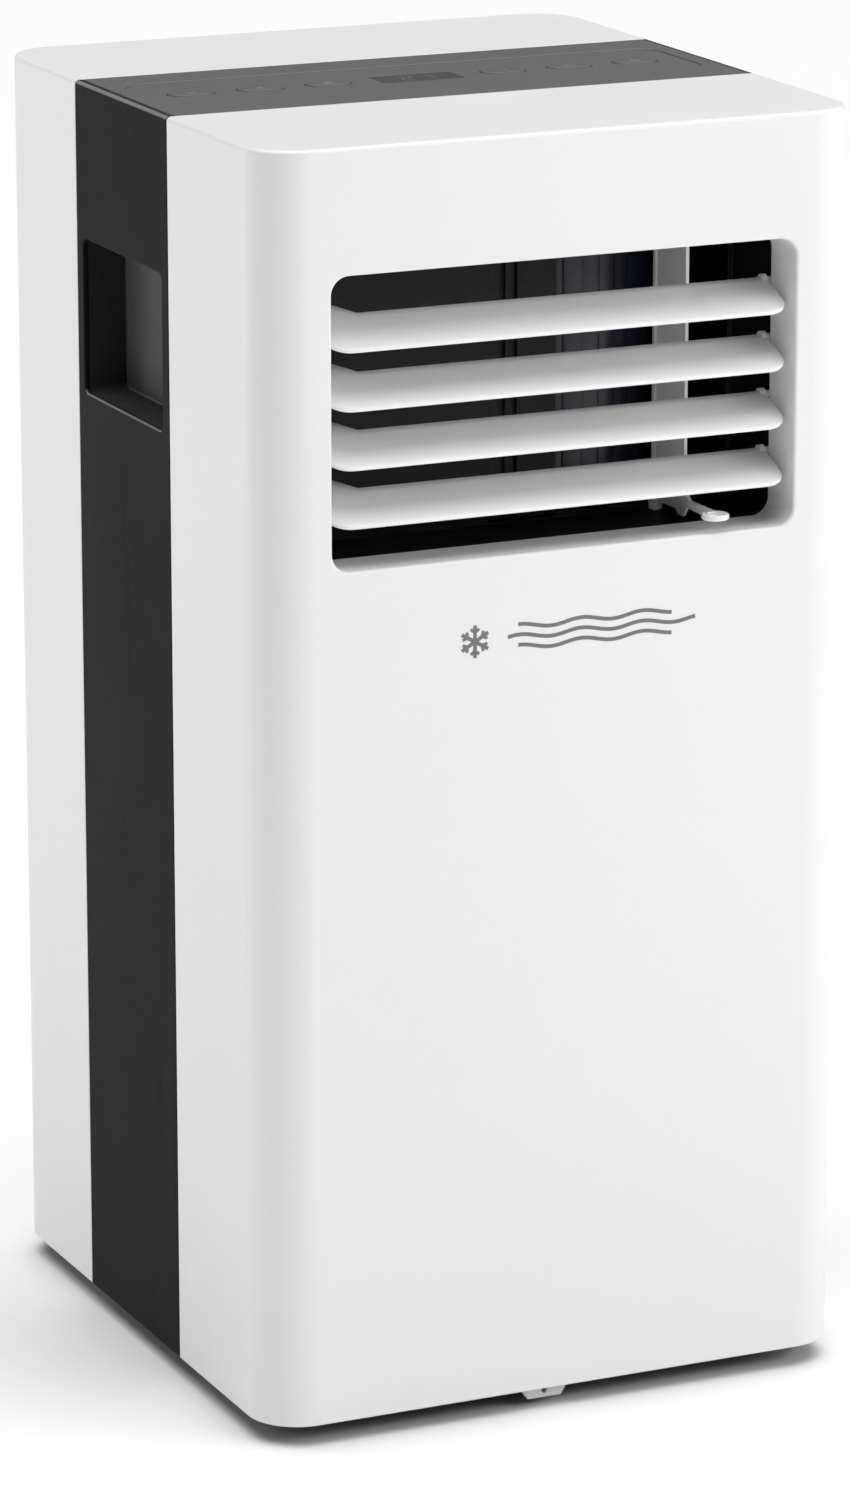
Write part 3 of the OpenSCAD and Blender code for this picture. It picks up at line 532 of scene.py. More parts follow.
def settle(piece):
    """Applies a piece's modifiers to its mesh."""
    graph = bpy.context.evaluated_depsgraph_get()
    shown = piece.evaluated_get(graph)
    mesh = bpy.data.meshes.new_from_object(shown, preserve_all_data_layers=True, depsgraph=graph)
    piece.modifiers.clear()
    piece.data = mesh
    return piece


def outline(u0, u1, v0, v1, radius=0.0, steps=8):
    """Rectangle with round corners, going round from its lower right corner."""
    turns = steps if radius else 0
    centres = ((u1 - radius, v0 + radius), (u1 - radius, v1 - radius),
               (u0 + radius, v1 - radius), (u0 + radius, v0 + radius))
    points = []
    for quarter, (u, v) in enumerate(centres):
        for step in range(turns + 1):
            angle = math.pi / 2 * (quarter - 1 + step / max(turns, 1))
            points.append((u + radius * math.cos(angle), v + radius * math.sin(angle)))
    return points


def disc(centre, radius, steps=64):
    """Circle as an outline."""
    turns = [2 * math.pi * step / steps for step in range(steps)]
    return [(centre[0] + radius * math.cos(a), centre[1] + radius * math.sin(a)) for a in turns]


def stand(axis, along, points):
    """Places an outline across an axis: (y, z) across x, (x, z) across y, (x, y) across z."""
    place = "xyz".index(axis)
    return [Vector((*point[:place], along, *point[place:])) for point in points]


def solid(name, rings, closed=False):
    """Mesh lofted through rings of points; its ends are capped, or meet if it is closed."""
    shape = bmesh.new()
    rows = [[shape.verts.new(point) for point in ring] for ring in rings]
    pairs = list(zip(rows, rows[1:]))
    if closed:
        pairs.append((rows[-1], rows[0]))
    for first, second in pairs:
        for i in range(len(first)):
            shape.faces.new((first[i - 1], first[i], second[i], second[i - 1]))
    if not closed:
        shape.faces.new(rows[0][::-1])
        shape.faces.new(rows[-1])
    bmesh.ops.recalc_face_normals(shape, faces=shape.faces)
    return made(name, shape)


def prism(name, axis, start, stop, points):
    """Outline drawn out along an axis."""
    return solid(name, [stand(axis, start, points), stand(axis, stop, points)])


def block(start, stop, name="block"):
    """Rectangular block between two corners."""
    return prism(name, "z", start[2], stop[2], outline(start[0], stop[0], start[1], stop[1]))


def rod(axis, centre, radius, start, stop, steps=48, name="rod"):
    """Round bar along an axis."""
    return prism(name, axis, start, stop, disc(centre, radius, steps))


def turned(name, axis, centre, profile, steps=64, closed=False):
    """Shape turned on a lathe, from (radius, place along the axis) pairs."""
    rings = [stand(axis, along, disc(centre, radius, steps)) for radius, along in profile]
    return solid(name, rings, closed)


def flared(name, axis, start, stop, grown, edge, steps=5):
    """Cutter whose mouth at `start` opens out in a round edge; grown(x) is its outline made larger by x."""
    way = math.copysign(1.0, stop - start)
    rings = [stand(axis, start - way * 2 * MM, grown(edge))]
    for step in range(steps + 1):
        angle = math.pi / 2 * step / steps
        along = start + way * edge * (1 - math.cos(angle))
        rings.append(stand(axis, along, grown(edge * (1 - math.sin(angle)))))
    rings.append(stand(axis, stop, grown(0.0)))
    return solid(name, rings)


def combine(operation, piece, *others):
    """Unites, intersects or cuts a piece with others, which are used up."""
    for other in others:
        modifier = piece.modifiers.new("combine", "BOOLEAN")
        modifier.operation = operation
        modifier.solver = "EXACT"
        modifier.object = other
    settle(piece)
    discard(*others)
    return piece


def carve(piece, *cutters):
    """Cuts shapes out of a piece."""
    return combine("DIFFERENCE", piece, *cutters)


def unite(piece, *others):
    """Joins shapes to a piece."""
    return combine("UNION", piece, *others)


def gather(name, *parts):
    """Puts separate solids into one object."""
    shape = bmesh.new()
    for part in parts:
        shape.from_mesh(part.data)
    discard(*parts)
    return made(name, shape)


def soften(piece, radius, angle=32, segments=3):
    """Rounds every edge that is sharper than an angle."""
    bevel = piece.modifiers.new("soft edges", "BEVEL")
    bevel.width = radius
    bevel.segments = segments
    bevel.limit_method = "ANGLE"
    bevel.angle_limit = math.radians(angle)
    bevel.use_clamp_overlap = False
    piece.data.shade_smooth()
    flat = piece.modifiers.new("flat faces stay flat", "WEIGHTED_NORMAL")
    flat.weight = 100
    return settle(piece)


def smoothed(piece, angle=40):
    """Shades a piece smooth, apart from its sharp edges."""
    piece.data.shade_smooth()
    piece.data.set_sharp_from_angle(angle=math.radians(angle))
    return piece


def copied(node):
    """Copy of a frame node with its flat faces whole again."""
    shape = bmesh.new()
    shape.from_mesh(frame["nodes"][node].data)
    bmesh.ops.remove_doubles(shape, verts=shape.verts, dist=0.002 * MM)
    bmesh.ops.dissolve_limit(shape, angle_limit=math.radians(0.4), verts=shape.verts, edges=shape.edges)
    return made(node + "_body", shape)


def refined(node, slot, radius=0.4 * MM, body=BODY, angle=32):
    """Copy of a frame node with round edges, shown in its place."""
    piece = copied(node)
    if radius:
        soften(piece, radius, angle, 2)
    else:
        smoothed(piece)
    return show(piece, slot, node, body=body)


def show(piece, slot, *nodes, body=BODY, finish=None):
    """Gives a finished piece its material and its place in the frame."""
    piece.data.materials.clear()
    piece.data.materials.append(finishes()[finish or slot])
    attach(piece, body)
    if nodes:
        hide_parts(*nodes)
    return piece


# ---------------------------------------------------------------- node trees that repeat a shape


class Tree:
    """Geometry node tree with named inputs, which ends in real geometry with a material."""

    def __init__(self, name, **inputs):
        self.tree = bpy.data.node_groups.new(name, "GeometryNodeTree")
        self.tree.is_modifier = True
        faces = self.tree.interface
        faces.new_socket("Geometry", in_out="OUTPUT", socket_type="NodeSocketGeometry")
        faces.new_socket("Geometry", in_out="INPUT", socket_type="NodeSocketGeometry")
        for key, kind in inputs.items():
            faces.new_socket(key, in_out="INPUT", socket_type="NodeSocket" + kind)
        self.given = self.tree.nodes.new("NodeGroupInput")

    def add(self, kind, settings=(), **links):
        """Adds a node; its sockets are named with underscores for spaces."""
        node = self.tree.nodes.new(kind)
        for key, value in dict(settings).items():
            setattr(node, key, value)
        for key, value in links.items():
            socket = node.inputs[key.replace("_", " ")]
            if isinstance(value, bpy.types.NodeSocket):
                self.tree.links.new(value, socket)
            else:
                socket.default_value = value
        return node

    def end(self, instances, after=None):
        """Makes the instances real, moves them, and gives them the material."""
        real = self.add("GeometryNodeRealizeInstances", Geometry=instances).outputs[0]
        if after:
            real = self.add("GeometryNodeTransform", Geometry=real, Translation=after).outputs[0]
        painted = self.add("GeometryNodeSetMaterial", Geometry=real, Material=self.given.outputs["Material"])
        leave = self.tree.nodes.new("NodeGroupOutput")
        self.tree.links.new(painted.outputs[0], leave.inputs[0])
        return self.tree


def row_tree():
    """Repeats the geometry in even steps, each turned a little further about an axis through a centre."""
    tree = bpy.data.node_groups.get("evenly spaced")
    if tree:
        return tree
    plan = Tree("evenly spaced", Count="Int", Step="Vector", Turn="Float", Axis="Vector", Centre="Vector",
                Material="Material")
    given = plan.given.outputs
    line = plan.add("GeometryNodeMeshLine", {"mode": "OFFSET"}, Count=given["Count"], Offset=given["Step"])
    index = plan.add("GeometryNodeInputIndex").outputs[0]
    angle = plan.add("ShaderNodeMath", {"operation": "MULTIPLY"})
    plan.tree.links.new(index, angle.inputs[0])
    plan.tree.links.new(given["Turn"], angle.inputs[1])
    turn = plan.add("FunctionNodeAxisAngleToRotation", Axis=given["Axis"], Angle=angle.outputs[0])
    back = plan.add("ShaderNodeVectorMath", {"operation": "SCALE"}, Vector=given["Centre"], Scale=-1.0)
    shape = plan.add("GeometryNodeTransform", Geometry=given["Geometry"], Translation=back.outputs[0])
    many = plan.add("GeometryNodeInstanceOnPoints", Points=line.outputs[0], Instance=shape.outputs[0],
                    Rotation=turn.outputs[0])
    return plan.end(many.outputs[0], given["Centre"])


def place_tree():
    """Puts a shape on every point of the geometry."""
    tree = bpy.data.node_groups.get("at each place")
    if tree:
        return tree
    plan = Tree("at each place", Shape="Object", Material="Material")
    given = plan.given.outputs
    shape = plan.add("GeometryNodeObjectInfo", Object=given["Shape"])
    many = plan.add("GeometryNodeInstanceOnPoints", Points=given["Geometry"],
                    Instance=shape.outputs["Geometry"])
    return plan.end(many.outputs[0])


def run_tree(piece, tree, **values):
    """Runs a node tree on a piece and keeps the result as its mesh."""
    modifier = piece.modifiers.new(tree.name, "NODES")
    modifier.node_group = tree
    for item in tree.interface.items_tree:
        if item.in_out == "INPUT" and item.name in values:
            modifier[item.identifier] = values[item.name]
    return settle(piece)


def in_row(piece, finish, count, step):
    """Repeats a piece in even steps."""
    return run_tree(piece, row_tree(), Count=count, Step=tuple(step), Turn=0.0, Axis=(0.0, 0.0, 1.0),
                    Centre=(0.0, 0.0, 0.0), Material=finishes()[finish])


def in_ring(piece, finish, count, axis, centre):
    """Repeats a piece all round an axis."""
    direction = [0.0, 0.0, 0.0]
    direction["xyz".index(axis)] = 1.0
    return run_tree(piece, row_tree(), Count=count, Step=(0.0, 0.0, 0.0), Turn=2 * math.pi / count,
                    Axis=tuple(direction), Centre=tuple(centre), Material=finishes()[finish])


def at_places(name, shape, places, finish):
    """Puts a copy of a shape at every place, and uses the shape up."""
    points = bmesh.new()
    for place in places:
        points.verts.new(place)
    piece = run_tree(made(name, points), place_tree(), Shape=shape, Material=finishes()[finish])
    discard(shape)
    return piece


# ---------------------------------------------------------------- drawn lines


def ribbon(name, axis, start, stop, points, width):
    """Flat bar that follows a line, as for a printed stroke."""
    sides = ([], [])
    for i, (u, v) in enumerate(points):
        before = points[max(i - 1, 0)]
        after = points[min(i + 1, len(points) - 1)]
        du, dv = after[0] - before[0], after[1] - before[1]
        scale = width / 2 / math.hypot(du, dv)
        sides[0].append((u - dv * scale, v + du * scale))
        sides[1].append((u + dv * scale, v - du * scale))
    return prism(name, axis, start, stop, sides[0] + sides[1][::-1])


def bow(centre, radius, start, stop, steps=24):
    """Points along an arc between two angles in degrees."""
    angles = [math.radians(start + (stop - start) * step / steps) for step in range(steps + 1)]
    return [(centre[0] + radius * math.cos(a), centre[1] + radius * math.sin(a)) for a in angles]


def hoop(name, axis, start, stop, centre, radius, width, steps=48):
    """Flat ring, as for a printed circle."""
    inner, outer = radius - width / 2, radius + width / 2
    profile = ((inner, start), (outer, start), (outer, stop), (inner, stop))
    return turned(name, axis, centre, profile, steps, closed=True)


# ---------------------------------------------------------------- places worked out from the frame

HALF_W = high("front_panel").x
HALF_D = high("rear_housing").y
BOTTOM = low("front_panel").z
TOP = high("front_panel").z
BAND = (low("side_panel_left").y, high("side_panel_left").y)
DUCT_MARGIN = 5.25 * MM  # from the outlet's edge to the duct's outer face
OUTLET = (low("outlet_duct").x + DUCT_MARGIN, high("outlet_duct").x - DUCT_MARGIN,
          low("outlet_duct").z + DUCT_MARGIN, high("outlet_duct").z - DUCT_MARGIN)
FRAME_BACK = low("outlet_duct").y + 5.6 * MM
SCREW_HEIGHTS = (74 * MM, 252 * MM, 438 * MM, 686 * MM)
SCREW_HALF = high("case_screws").x - 4.2 * MM


def case_rings(inset=0.0):
    """Rings of points up the case, with its round top edge, or up its hollow if there is an `inset`."""
    case = bpy.context.scene.aircon_case
    if inset:
        levels = [(BOTTOM - MM, 0.0), (TOP - inset, 0.0)]
    else:
        levels = [(BOTTOM, 0.0)]
        for step in range(9):
            angle = math.pi / 2 * step / 8
            levels.append((TOP - case.top_edge * (1 - math.sin(angle)),
                           case.top_edge * (1 - math.cos(angle))))
    rings = []
    for height, pull in levels:
        drawn = inset + pull
        points = outline(-HALF_W + drawn, HALF_W - drawn, -HALF_D + drawn, HALF_D - drawn,
                         case.corner - drawn, 18)
        rings.append(stand("z", height, points))
    return rings


def case_part(name, start, stop):
    """Part of the case's hollow shell between two corners of a box."""
    wall = bpy.context.scene.aircon_case.wall
    piece = combine("INTERSECT", solid(name, case_rings()), block(start, stop))
    return carve(piece, solid("hollow", case_rings(wall)))


def outlet_outline(grow):
    """Outline of the outlet, made larger by `grow`."""
    corner = bpy.context.scene.aircon_case.vent_corner
    x0, x1, z0, z1 = OUTLET
    return outline(x0 - grow, x1 + grow, z0 - grow, z1 + grow, corner + grow)


def node_outline(node, grow, corner, axis="y"):
    """Outline of a node's box across an axis, made larger by `grow`."""
    keep = [i for i in range(3) if i != "xyz".index(axis)]
    (u0, v0), (u1, v1) = [[corner_point[i] for i in keep] for corner_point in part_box(node)]
    return outline(u0 - grow, u1 + grow, v0 - grow, v1 + grow, corner)


# ---------------------------------------------------------------- pieces


class BuildFrontPanel(bpy.types.Operator):
    """White front panel with the frame inside its outlet"""

    bl_idname = "aircon.front_panel"
    bl_label = "Front panel"

    def execute(self, context):
        case = context.scene.aircon_case
        front = -HALF_D
        panel = case_part("front_panel_shell", (-1, -1, 0), (1, high("front_panel").y, 1))
        unite(panel, prism("outlet_frame", "y", front + case.wall / 2, FRAME_BACK,
                           outlet_outline(case.frame_wall)))
        carve(panel, flared("opening", "y", front, FRAME_BACK + MM, outlet_outline, case.vent_edge))
        soften(panel, case.soft_edge)
        show(panel, "white_shell", "front_panel")
        return {"FINISHED"}


class BuildRearHousing(bpy.types.Operator):
    """White rear housing with its screw bosses and the openings for grilles, hose, drains and lead"""

    bl_idname = "aircon.rear_housing"
    bl_label = "Rear housing"

    def execute(self, context):
        case = context.scene.aircon_case
        rear = HALF_D
        housing = case_part("rear_housing_shell", (-1, low("rear_housing").y, 0), (1, 1, 1))
        places = [(side * SCREW_HALF, height) for side in (-1, 1) for height in SCREW_HEIGHTS]
        unite(housing, *[rod("y", place, 7 * MM, rear - 14 * MM, rear - case.wall / 2) for place in places])
        cutters = []
        for node in ("upper_grille", "lower_grille"):
            def grown(grow, node=node):
                return node_outline(node, 0.4 * MM + grow, 8 * MM + grow)
            cutters.append(flared("grille opening", "y", rear, rear - 2 * case.wall, grown, case.soft_edge))
        holes = (("exhaust_collar", -3.7 * MM), ("upper_drain_plug", -1.6 * MM),
                 ("lower_drain_plug", -1.6 * MM), ("cable_gland", -2.8 * MM))
        for node, grow in holes:
            centre = (middle(node).x, middle(node).z)
            radius = (high(node).x - low(node).x) / 2 + grow
            cutters.append(rod("y", centre, radius, rear - 2 * case.wall, rear + MM))
        for place in places:
            def recess(grow, place=place):
                return disc(place, 4.6 * MM + grow, 40)
            cutters.append(flared("recess", "y", rear, rear - 3.4 * MM, recess, 0.5 * MM, 3))
        carve(housing, *cutters)
        soften(housing, case.soft_edge)
        show(housing, "white_shell", "rear_housing")
        return {"FINISHED"}


class BuildSidePanels(bpy.types.Operator):
    """Near-black side panels with their grip pockets and their lips on the top face"""

    bl_idname = "aircon.side_panels"
    bl_label = "Side panels"

    def execute(self, context):
        case = context.scene.aircon_case
        middle_y = sum(BAND) / 2 + 0.5 * MM
        wall = case.frame_wall

        def grip(grow):
            return outline(middle_y - case.grip_width / 2 - grow, middle_y + case.grip_width / 2 + grow,
                           case.grip_low - grow, case.grip_low + case.grip_height + grow,
                           case.grip_corner + grow)

        for name, side in (("left", -1), ("right", 1)):
            face = side * HALF_W
            reach = sorted((face + side, face - side * case.lip))
            panel = case_part(f"side_panel_{name}_shell", (reach[0], BAND[0], 0), (reach[1], BAND[1], 1))
            tub = (face - side * case.wall / 2, face - side * (case.grip_depth + wall))
            unite(panel, prism("tub", "x", *sorted(tub), grip(wall)))
            carve(panel, flared("grip", "x", face, face - side * case.grip_depth, grip, case.grip_edge))
            soften(panel, case.soft_edge)
            show(panel, "black_shell", f"side_panel_{name}")
        return {"FINISHED"}


def field_outline(grow):
    """Outline of the control field."""
    return node_outline("control_fascia", 0.15 * MM + grow, 16 * MM + grow, "z")


class BuildTopPanel(bpy.types.Operator):
    """Dark grey insert in the top, with the control fascia let into it"""

    bl_idname = "aircon.top_panel"
    bl_label = "Top panel"

    def execute(self, context):
        start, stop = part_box("top_panel")
        insert = block(start, stop, "top_insert")
        carve(insert, flared("field", "z", TOP, start.z - MM, field_outline, 0.9 * MM))
        soften(insert, 0.5 * MM)
        show(insert, "grey_top", "top_panel")
        start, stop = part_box("control_fascia")
        plate = node_outline("control_fascia", 0, 15.8 * MM, "z")
        fascia = prism("fascia_plate", "z", start.z, stop.z, plate)
        cutters = [prism("window hole", "z", start.z - MM, stop.z + MM,
                         node_outline("display_window", 0.15 * MM, 0.0, "z"))]
        for key in KEYS:
            node = "key_" + key
            def hole(grow, node=node):
                return node_outline(node, 0.4 * MM + grow, 7.3 * MM + grow, "z")
            cutters.append(flared("key hole", "z", stop.z, start.z - MM, hole, 0.5 * MM, 3))
        carve(fascia, *cutters)
        soften(fascia, 0.35 * MM)
        show(fascia, "grey_top", "control_fascia")
        return {"FINISHED"}


def key_icon(key, centre, start, stop):
    """Printed sign on a key: plain strokes that say what it does."""
    u, v = centre
    thick = 0.55 * MM
    size = 3.0 * MM

    def line(*points):
        return ribbon("stroke", "z", start, stop, [(u + a * size, v + b * size) for a, b in points], thick)

    if key == "power":
        return [ribbon("arc", "z", start, stop, bow(centre, size * 0.8, 130, 410), thick),
                line((0, 0.25), (0, 1.1))]
    if key == "mode":
        return [line((math.cos(a), math.sin(a)), (-math.cos(a), -math.sin(a)))
                for a in (math.radians(turn) for turn in (0, 60, 120))]
    if key == "fan":
        return [hoop("blade", "z", start, stop, (u + size * 0.6 * math.cos(a), v + size * 0.6 * math.sin(a)),
                     size * 0.34, thick) for a in (math.radians(turn) for turn in (90, 210, 330))]
    if key == "timer":
        return [hoop("dial", "z", start, stop, centre, size * 0.85, thick), line((0, 0.6), (0, 0), (0.42, 0))]
    way = 1 if key == "up" else -1
    return [line((-0.8, -0.4 * way), (0, 0.4 * way), (0.8, -0.4 * way))]


class BuildKeys(bpy.types.Operator):
    """Six push keys with printed signs"""

    bl_idname = "aircon.keys"
    bl_label = "Keys"

    def execute(self, context):
        for key in KEYS:
            node = "key_" + key
            start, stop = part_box(node)
            centre = (middle(node).x, middle(node).y)
            rings = [stand("z", start.z + 2.4 * MM, node_outline(node, 0, 6.9 * MM, "z"))]
            for step in range(5):
                angle = math.pi / 2 * step / 4
                pull = 0.7 * MM * (1 - math.cos(angle))
                height = stop.z - 0.7 * MM * (1 - math.sin(angle))
                rings.append(stand("z", height, node_outline(node, -pull, 6.9 * MM - pull, "z")))
            cap = solid(node + "_cap", rings)
            foot = rod("z", centre, 3 * MM, start.z, start.z + 3 * MM)
            show(smoothed(unite(cap, foot)), "key_plastic", node, body=node)
            icon = gather(node + "_sign", *key_icon(key, centre, stop.z - 0.05 * MM, stop.z + 0.04 * MM))
            show(icon, "key_plastic", body=node, finish="icon")
        return {"FINISHED"}


SEGMENTS = {"2": "abged", "1": "bc"}  # bars lit, lettered clockwise from the top; g is the middle one


def digit(figure, x, y, width, height, start, stop):
    """Seven-segment digit whose lower left corner is at (x, y)."""
    mid = y + height / 2
    ends = {"a": ((x, y + height), (x + width, y + height)), "g": ((x, mid), (x + width, mid)),
            "d": ((x, y), (x + width, y)), "e": ((x, y), (x, mid)),
            "b": ((x + width, mid), (x + width, y + height)), "c": ((x + width, y), (x + width, mid))}
    trim = 0.7 * MM
    bars = []
    for letter in SEGMENTS[figure]:
        (u0, v0), (u1, v1) = ends[letter]
        way = Vector((u1 - u0, v1 - v0)).normalized() * trim
        points = [(u0 + way.x, v0 + way.y), (u1 - way.x, v1 - way.y)]
        bars.append(ribbon("segment", "z", start, stop, points, 1.3 * MM))
    return bars


class BuildDisplay(bpy.types.Operator):
    """Smoked window with the unlit segments of a two-digit number"""

    bl_idname = "aircon.display"
    bl_label = "Display"

    def execute(self, context):
        start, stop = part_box("display_window")
        window = block(start, stop, "window_pane")
        show(soften(window, 0.4 * MM), "smoked_window", "display_window")
        centre = middle("display_window")
        bars = []
        for figure, x in (("2", centre.x - 9 * MM), ("1", centre.x + 3 * MM)):
            bars += digit(figure, x, centre.y - 6 * MM, 6.5 * MM, 12 * MM, stop.z - 0.05 * MM,
                          stop.z + 0.03 * MM)
        show(gather("display_digits", *bars), "smoked_window", finish="lamp")
        return {"FINISHED"}


class BuildMark(bpy.types.Operator):
    """Printed mark under the outlet: a snow crystal and three lines of moving air"""

    bl_idname = "aircon.mark"
    bl_label = "Mark"

    def execute(self, context):
        start, stop = -HALF_D - 0.07 * MM, -HALF_D + 0.3 * MM
        thick = 2.1 * MM
        height, reach = 435.5 * MM, 8.8 * MM
        crystal = (-53 * MM, height)
        bars = []
        for turn in range(6):
            angle = math.radians(60 * turn + 30)
            tip = (crystal[0] + reach * math.cos(angle), crystal[1] + reach * math.sin(angle))
            bars.append(ribbon("arm", "y", start, stop, [crystal, tip], thick))
            fork = (crystal[0] + 0.55 * reach * math.cos(angle), crystal[1] + 0.55 * reach * math.sin(angle))
            for side in (-1, 1):
                lean = angle + side * math.radians(50)
                end = (fork[0] + 0.36 * reach * math.cos(lean), fork[1] + 0.36 * reach * math.sin(lean))
                bars.append(ribbon("twig", "y", start, stop, [fork, end], thick * 0.8))
        mark = unite(*bars)
        wave, swell, row_gap = 36 * MM, 1.3 * MM, 5.6 * MM
        waves = []
        for row in (-1, 0, 1):
            first, last = (6 * abs(row) - 34) * MM, (76 - 14 * abs(row)) * MM
            xs = [first + (last - first) * step / 60 for step in range(61)]
            line = [(x, height + row_gap * row + swell * math.sin(x * 2 * math.pi / wave)) for x in xs]
            waves.append(ribbon("wave", "y", start, stop, line, thick))
        show(gather("printed_mark", mark, *waves), "grey_plastic", finish="print")
        return {"FINISHED"}


class BuildBase(bpy.types.Operator):
    """Base pan with its castor wells, and the screw tab under the front edge"""

    bl_idname = "aircon.base"
    bl_label = "Base"

    def execute(self, context):
        refined("base_pan", "black_inner", 0.6 * MM)
        refined("front_tab", "tray_plastic", 0.5 * MM)
        return {"FINISHED"}


class BuildCastors(bpy.types.Operator):
    """Four swivelling castors, each a fork and a treaded wheel on a moulded hub"""

    bl_idname = "aircon.castors"
    bl_label = "Castors"

    def execute(self, context):
        for corner in CORNERS:
            fork, wheel = f"castor_fork_{corner}", f"castor_wheel_{corner}"
            refined(fork, "grey_plastic", 0.4 * MM, body=fork)
            centre = (middle(wheel).y, middle(wheel).z)
            x, half = middle(wheel).x, (high(wheel).x - low(wheel).x) / 2
            radius = (high(wheel).z - low(wheel).z) / 2
            profile = [(11.6 * MM, x - half)]
            for step in range(13):
                angle = math.pi * (step / 12 - 0.5)
                side = math.copysign(abs(math.sin(angle)) ** 0.7, angle)
                profile.append((radius - 2.4 * MM * (1 - math.cos(angle) ** 0.6), x + side * half))
            profile.append((11.6 * MM, x + half))
            tread = smoothed(turned(wheel + "_tread", "x", centre, profile, 72, closed=True), 50)
            show(tread, "castor_tread", wheel, body=wheel)
            web, bore = 1.6 * MM, 2.56 * MM
            hub = ((bore, x - half + 0.3 * MM), (4.6 * MM, x - half + 0.3 * MM), (5 * MM, x - web),
                   (9.6 * MM, x - web), (10 * MM, x - half + 0.6 * MM), (11.55 * MM, x - half + 0.6 * MM),
                   (11.55 * MM, x + half - 0.6 * MM), (10 * MM, x + half - 0.6 * MM), (9.6 * MM, x + web),
                   (5 * MM, x + web), (4.6 * MM, x + half - 0.3 * MM), (bore, x + half - 0.3 * MM))
            piece = turned(wheel + "_hub", "x", centre, hub, 48, closed=True)
            show(soften(piece, 0.25 * MM, 30, 2), "grey_plastic", body=wheel)
        return {"FINISHED"}


# ---------------------------------------------------------------- outlet

LINK_ROOM = (4.4 * MM, 8.8 * MM)  # slot for the link bar, from a louvre's left end
FLARE = (15.8 * MM, 28 * MM)  # where a louvre's widened back begins to slope, and where it ends
FLARE_DEPTH = 11 * MM
BACK_EDGE = 2 * MM  # from a louvre's pivot to its back edge
END_ROUND = 0.9 * MM  # how far from its ends a louvre gets thinner


def louvre_station(x, half, louvre):
    """Front and back edge of a louvre at one place across its width."""
    out = abs(x) - (half - louvre.corner)
    front = -louvre.chord
    if out > 0:
        front += louvre.corner - math.sqrt(max(louvre.corner ** 2 - out ** 2, 0.0))
    inside = x + half
    if LINK_ROOM[0] < inside < LINK_ROOM[1] or inside >= FLARE[1]:
        return front, BACK_EDGE
    return front, BACK_EDGE + min(FLARE_DEPTH, (FLARE[1] - inside) * 0.9)


def louvre_section(x, front, back, half, louvre):
    """Section of a louvre across x: a round nose, a slightly crowned top and a thinner back edge."""
    over = max(abs(x) - (half - END_ROUND), 0.0) / END_ROUND
    slim = 0.25 + 0.75 * math.sqrt(max(1 - over ** 2, 0.0))
    nose, tail = louvre.nose / 2 * slim, louvre.tail / 2 * slim
    points = []
    for step in range(7):
        angle = math.pi / 2 * (1 + 2 * step / 6)
        points.append((front + nose + nose * math.cos(angle), nose * math.sin(angle)))
    start, depth = front + nose, back - front - nose
    under, upper = [], []
    for along in (step / 6 for step in range(1, 6)):
        thick = nose + (tail - nose) * along
        crown = louvre.camber * math.sin(math.pi * along)
        under.append((start + depth * along, crown - thick))
        upper.append((start + depth * along, crown + thick))
    round_off = tail * 0.5
    edge = [(back - round_off, -tail), (back, round_off - tail), (back, tail - round_off),
            (back - round_off, tail)]
    return [Vector((x, y, z)) for y, z in points + under + edge + upper[::-1]]


class BuildLouvres(bpy.types.Operator):
    """Four louvres with their ears and pins, and the bar that links them"""

    bl_idname = "aircon.louvres"
    bl_label = "Louvres"

    def execute(self, context):
        louvre = context.scene.aircon_louvre
        half = OUTLET[1] - 1.4 * MM
        hair = 0.01 * MM
        stations = {-half, half, -half + FLARE[1], -half + FLARE[0]}
        for edge in LINK_ROOM:
            stations |= {-half + edge - hair, -half + edge + hair}
        for step in range(1, 12):
            place = half - louvre.corner * (1 - math.sin(math.pi / 2 * step / 13))
            stations |= {-place, place}
        for step in range(4):
            place = half - END_ROUND * (1 - math.sin(math.pi / 2 * step / 4))
            stations |= {-place, place}
        across = sorted(stations)
        outer = high("outlet_duct").x - 0.2 * MM
        for number in range(1, 5):
            name = f"louvre_{number}"
            rings = [louvre_section(x, *louvre_station(x, half, louvre), half, louvre) for x in across]
            blade = solid(name + "_blade", rings)
            extras = []
            for side in (-1, 1):
                reach = sorted((side * (half - 0.5 * MM), side * outer))
                extras.append(rod("x", (0, 0), 1.95 * MM, *reach, 32))
                cheek = sorted((side * half, side * (half - 3 * MM)))
                extras.append(rod("x", (0, 0), 3.4 * MM, *cheek, 32))
            extras.append(rod("x", (louvre.crank, 0), 3 * MM, -half, -half + LINK_ROOM[0], 32))
            extras.append(rod("x", (louvre.crank, 0), 1.45 * MM, -half + MM, -half + LINK_ROOM[1] + MM, 24))
            unite(blade, *extras)
            place = Matrix.Translation(pivot(name + "_tilt")) @ Matrix.Rotation(louvre.tilt, 4, "X")
            blade.data.transform(place)
            show(smoothed(blade, 48), "white_blade", name, body=name)
        refined("louvre_link", "grey_plastic", 0.4 * MM, body="louvre_link")
        return {"FINISHED"}


